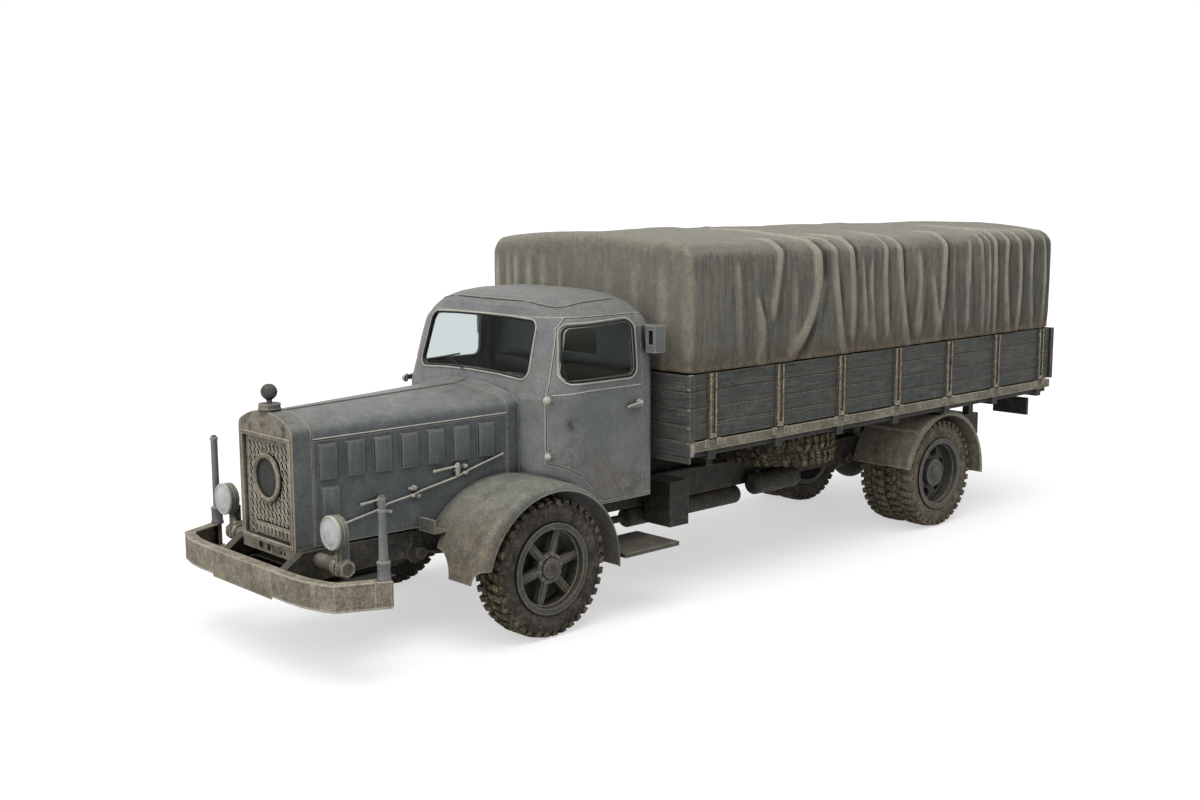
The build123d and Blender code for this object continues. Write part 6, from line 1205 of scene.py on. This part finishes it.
for side, sign in (("left", 1), ("right", -1)):
    body = f"door_{side}"
    door_skin = skin(body)
    bm = bmesh.new()
    outline = [(x, sign * 1.4, z) for x, z in window_line(0.030, 0.085)]
    add_bead(bm, laid(door_skin, outline, (0, -sign, 0), 0.001), 0.008, True)
    belt = [(1.392 + 0.0341 * k, sign * 1.4, 1.789 - 0.016 * smoothstep(k, 15, 25)) for k in range(26)]
    add_bead(bm, laid(door_skin, belt, (0, -sign, 0), 0.0), 0.0055)
    finish_piece(bm, f"door_beads_{side}", rubbed_bead, body, 60)
    bm = bmesh.new()
    outline = [(x, sign * 1.4, z) for x, z in window_line(0.010, 0.068)]
    add_bead(bm, laid(door_skin, outline, (0, -sign, 0), -0.002), 0.0095, True)
    finish_piece(bm, f"door_window_rubber_{side}", glazing_rubber, body, 60)
    bm = bmesh.new()
    for z, size in ((1.743, 0.027), (1.318, 0.022)):
        place = (2.29, sign * 0.9, z)
        add_turned(bm, ((0, 0), (0, size * 1.15), (0.005, size * 1.2), (0.009, size * 1.0), (0.014, size),
                        (0.024, size * 0.92), (0.034, size * 0.6), (0.038, size * 0.25), (0.039, 0)), place,
                   (0.28, sign, 0), 22)
    add_turned(bm, ((0, 0), (0, 0.026), (0.006, 0.028), (0.012, 0.02), (0.02, 0.017), (0.034, 0.018),
                    (0.042, 0.012), (0.044, 0)), (1.415, sign * 0.985, 1.652), (0, sign, 0), 20)
    add_turned(bm, ((0, 0), (0.003, 0.01), (0.03, 0.0115), (0.09, 0.0135), (0.14, 0.0125), (0.158, 0.008),
                    (0.162, 0)), (1.412, sign * 1.018, 1.652), (1, sign * 0.02, -0.14), 14)
    finish_piece(bm, f"door_lever_and_balls_{side}", worn_steel, body, 40)

# wiper lying low on the right-hand half of the screen
glass_skin = skin("cab_glass", "cab_front")
blade = [(3.4, -0.6, 1.93), (3.4, -0.5, 1.947), (3.4, -0.35, 1.975), (3.4, -0.2, 2.005)]
bm = bmesh.new()
add_bead(bm, laid(glass_skin, blade, (-1, 0, 0), 0.012), 0.007)
arm = laid(glass_skin, [(3.4, -0.1, 1.9), (3.4, -0.24, 1.95), (3.4, -0.38, 1.97)], (-1, 0, 0), 0.022)
add_bead(bm, arm, 0.005)
finish_piece(bm, "screen_wiper", glazing_rubber, "root", 60)

# ---- bed: irons on the headboard's corners
bm = bmesh.new()
for sign in (1, -1):
    add_block(bm, (1.058, sign * 1.231 - 0.0165, 1.2), (1.1115, sign * 1.231 + 0.0165, 1.852), 0.006)
    add_block(bm, (1.05, sign * 1.222 - 0.027, 1.215), (1.1118, sign * 1.222 + 0.027, 1.3), 0.01)
finish_piece(bm, "headboard_corner_irons", rubbed_bead, "root", 35)

# ---------------------------------------------------------------- stage, light, camera
# paper floor: grey to the light that reaches the truck, white to the eye except where the truck shades it
floor_material, tree, shader = new_material("matt_paper_floor")
tree.nodes.remove(shader)
grey = add_node(tree, "ShaderNodeBsdfDiffuse", {"Color": linear("acacac")})
pale = add_node(tree, "ShaderNodeBsdfDiffuse", {"Color": linear("c6c6c6")})
lift = add_node(tree, "ShaderNodeEmission", {"Color": (1, 1, 1, 1), "Strength": 0.55})
white = add_node(tree, "ShaderNodeAddShader", links={0: pale.outputs[0], 1: lift.outputs[0]})
paper = add_node(tree, "ShaderNodeMixShader", links={0: seen_rays(tree), 1: grey.outputs[0],
                                                     2: white.outputs[0]})
tree.links.new(paper.outputs[0], tree.nodes["Material Output"].inputs["Surface"])

bm = bmesh.new()
bmesh.ops.create_grid(bm, x_segments=1, y_segments=1, size=120)
mesh = bpy.data.meshes.new("paper_floor")
bm.to_mesh(mesh)
bm.free()
mesh.materials.append(floor_material)
floor = bpy.data.objects.new("paper_floor", mesh)
scene.collection.objects.link(floor)

world = bpy.data.worlds.new("studio")
scene.world = world
world.use_nodes = True
tree = world.node_tree
background = tree.nodes["Background"]
shown = add_node(tree, "ShaderNodeMapRange", {"To Min": 0.5, "To Max": 1.0}, {"Value": seen_rays(tree)})
tree.links.new(shown.outputs[0], background.inputs["Strength"])
background.inputs["Color"].default_value = (1, 1, 1, 1)


def soft_light(name, towards, strength, spread):
    """Broad diffused light from one direction, as even as a large window far away."""
    light = bpy.data.lights.new(name, "SUN")
    light.energy = strength
    light.angle = math.radians(spread)
    lamp_object = bpy.data.objects.new(name, light)
    lamp_object.rotation_mode = "QUATERNION"
    lamp_object.rotation_quaternion = Vector(towards).to_track_quat("Z", "Y")
    scene.collection.objects.link(lamp_object)


soft_light("overhead_light", (0.3, 0.2, 1.0), 1.5, 50)
soft_light("front_light", (1.0, 0.12, 0.42), 0.95, 60)

camera = bpy.data.cameras.new("camera")
camera.lens = 42.807
camera.sensor_width = 36.0
camera.clip_end = 300
camera_object = bpy.data.objects.new("camera", camera)
right = (-0.73268, 0.68056, -0.00450)
up = (-0.10394, -0.10535, 0.98899)
ahead = (-0.67259, -0.72508, -0.14792)
camera_object.matrix_world = Matrix((
    (right[0], up[0], -ahead[0], 9.1516),
    (right[1], up[1], -ahead[1], 8.8795),
    (right[2], up[2], -ahead[2], 3.3204),
    (0, 0, 0, 1),
))
scene.collection.objects.link(camera_object)
scene.camera = camera_object
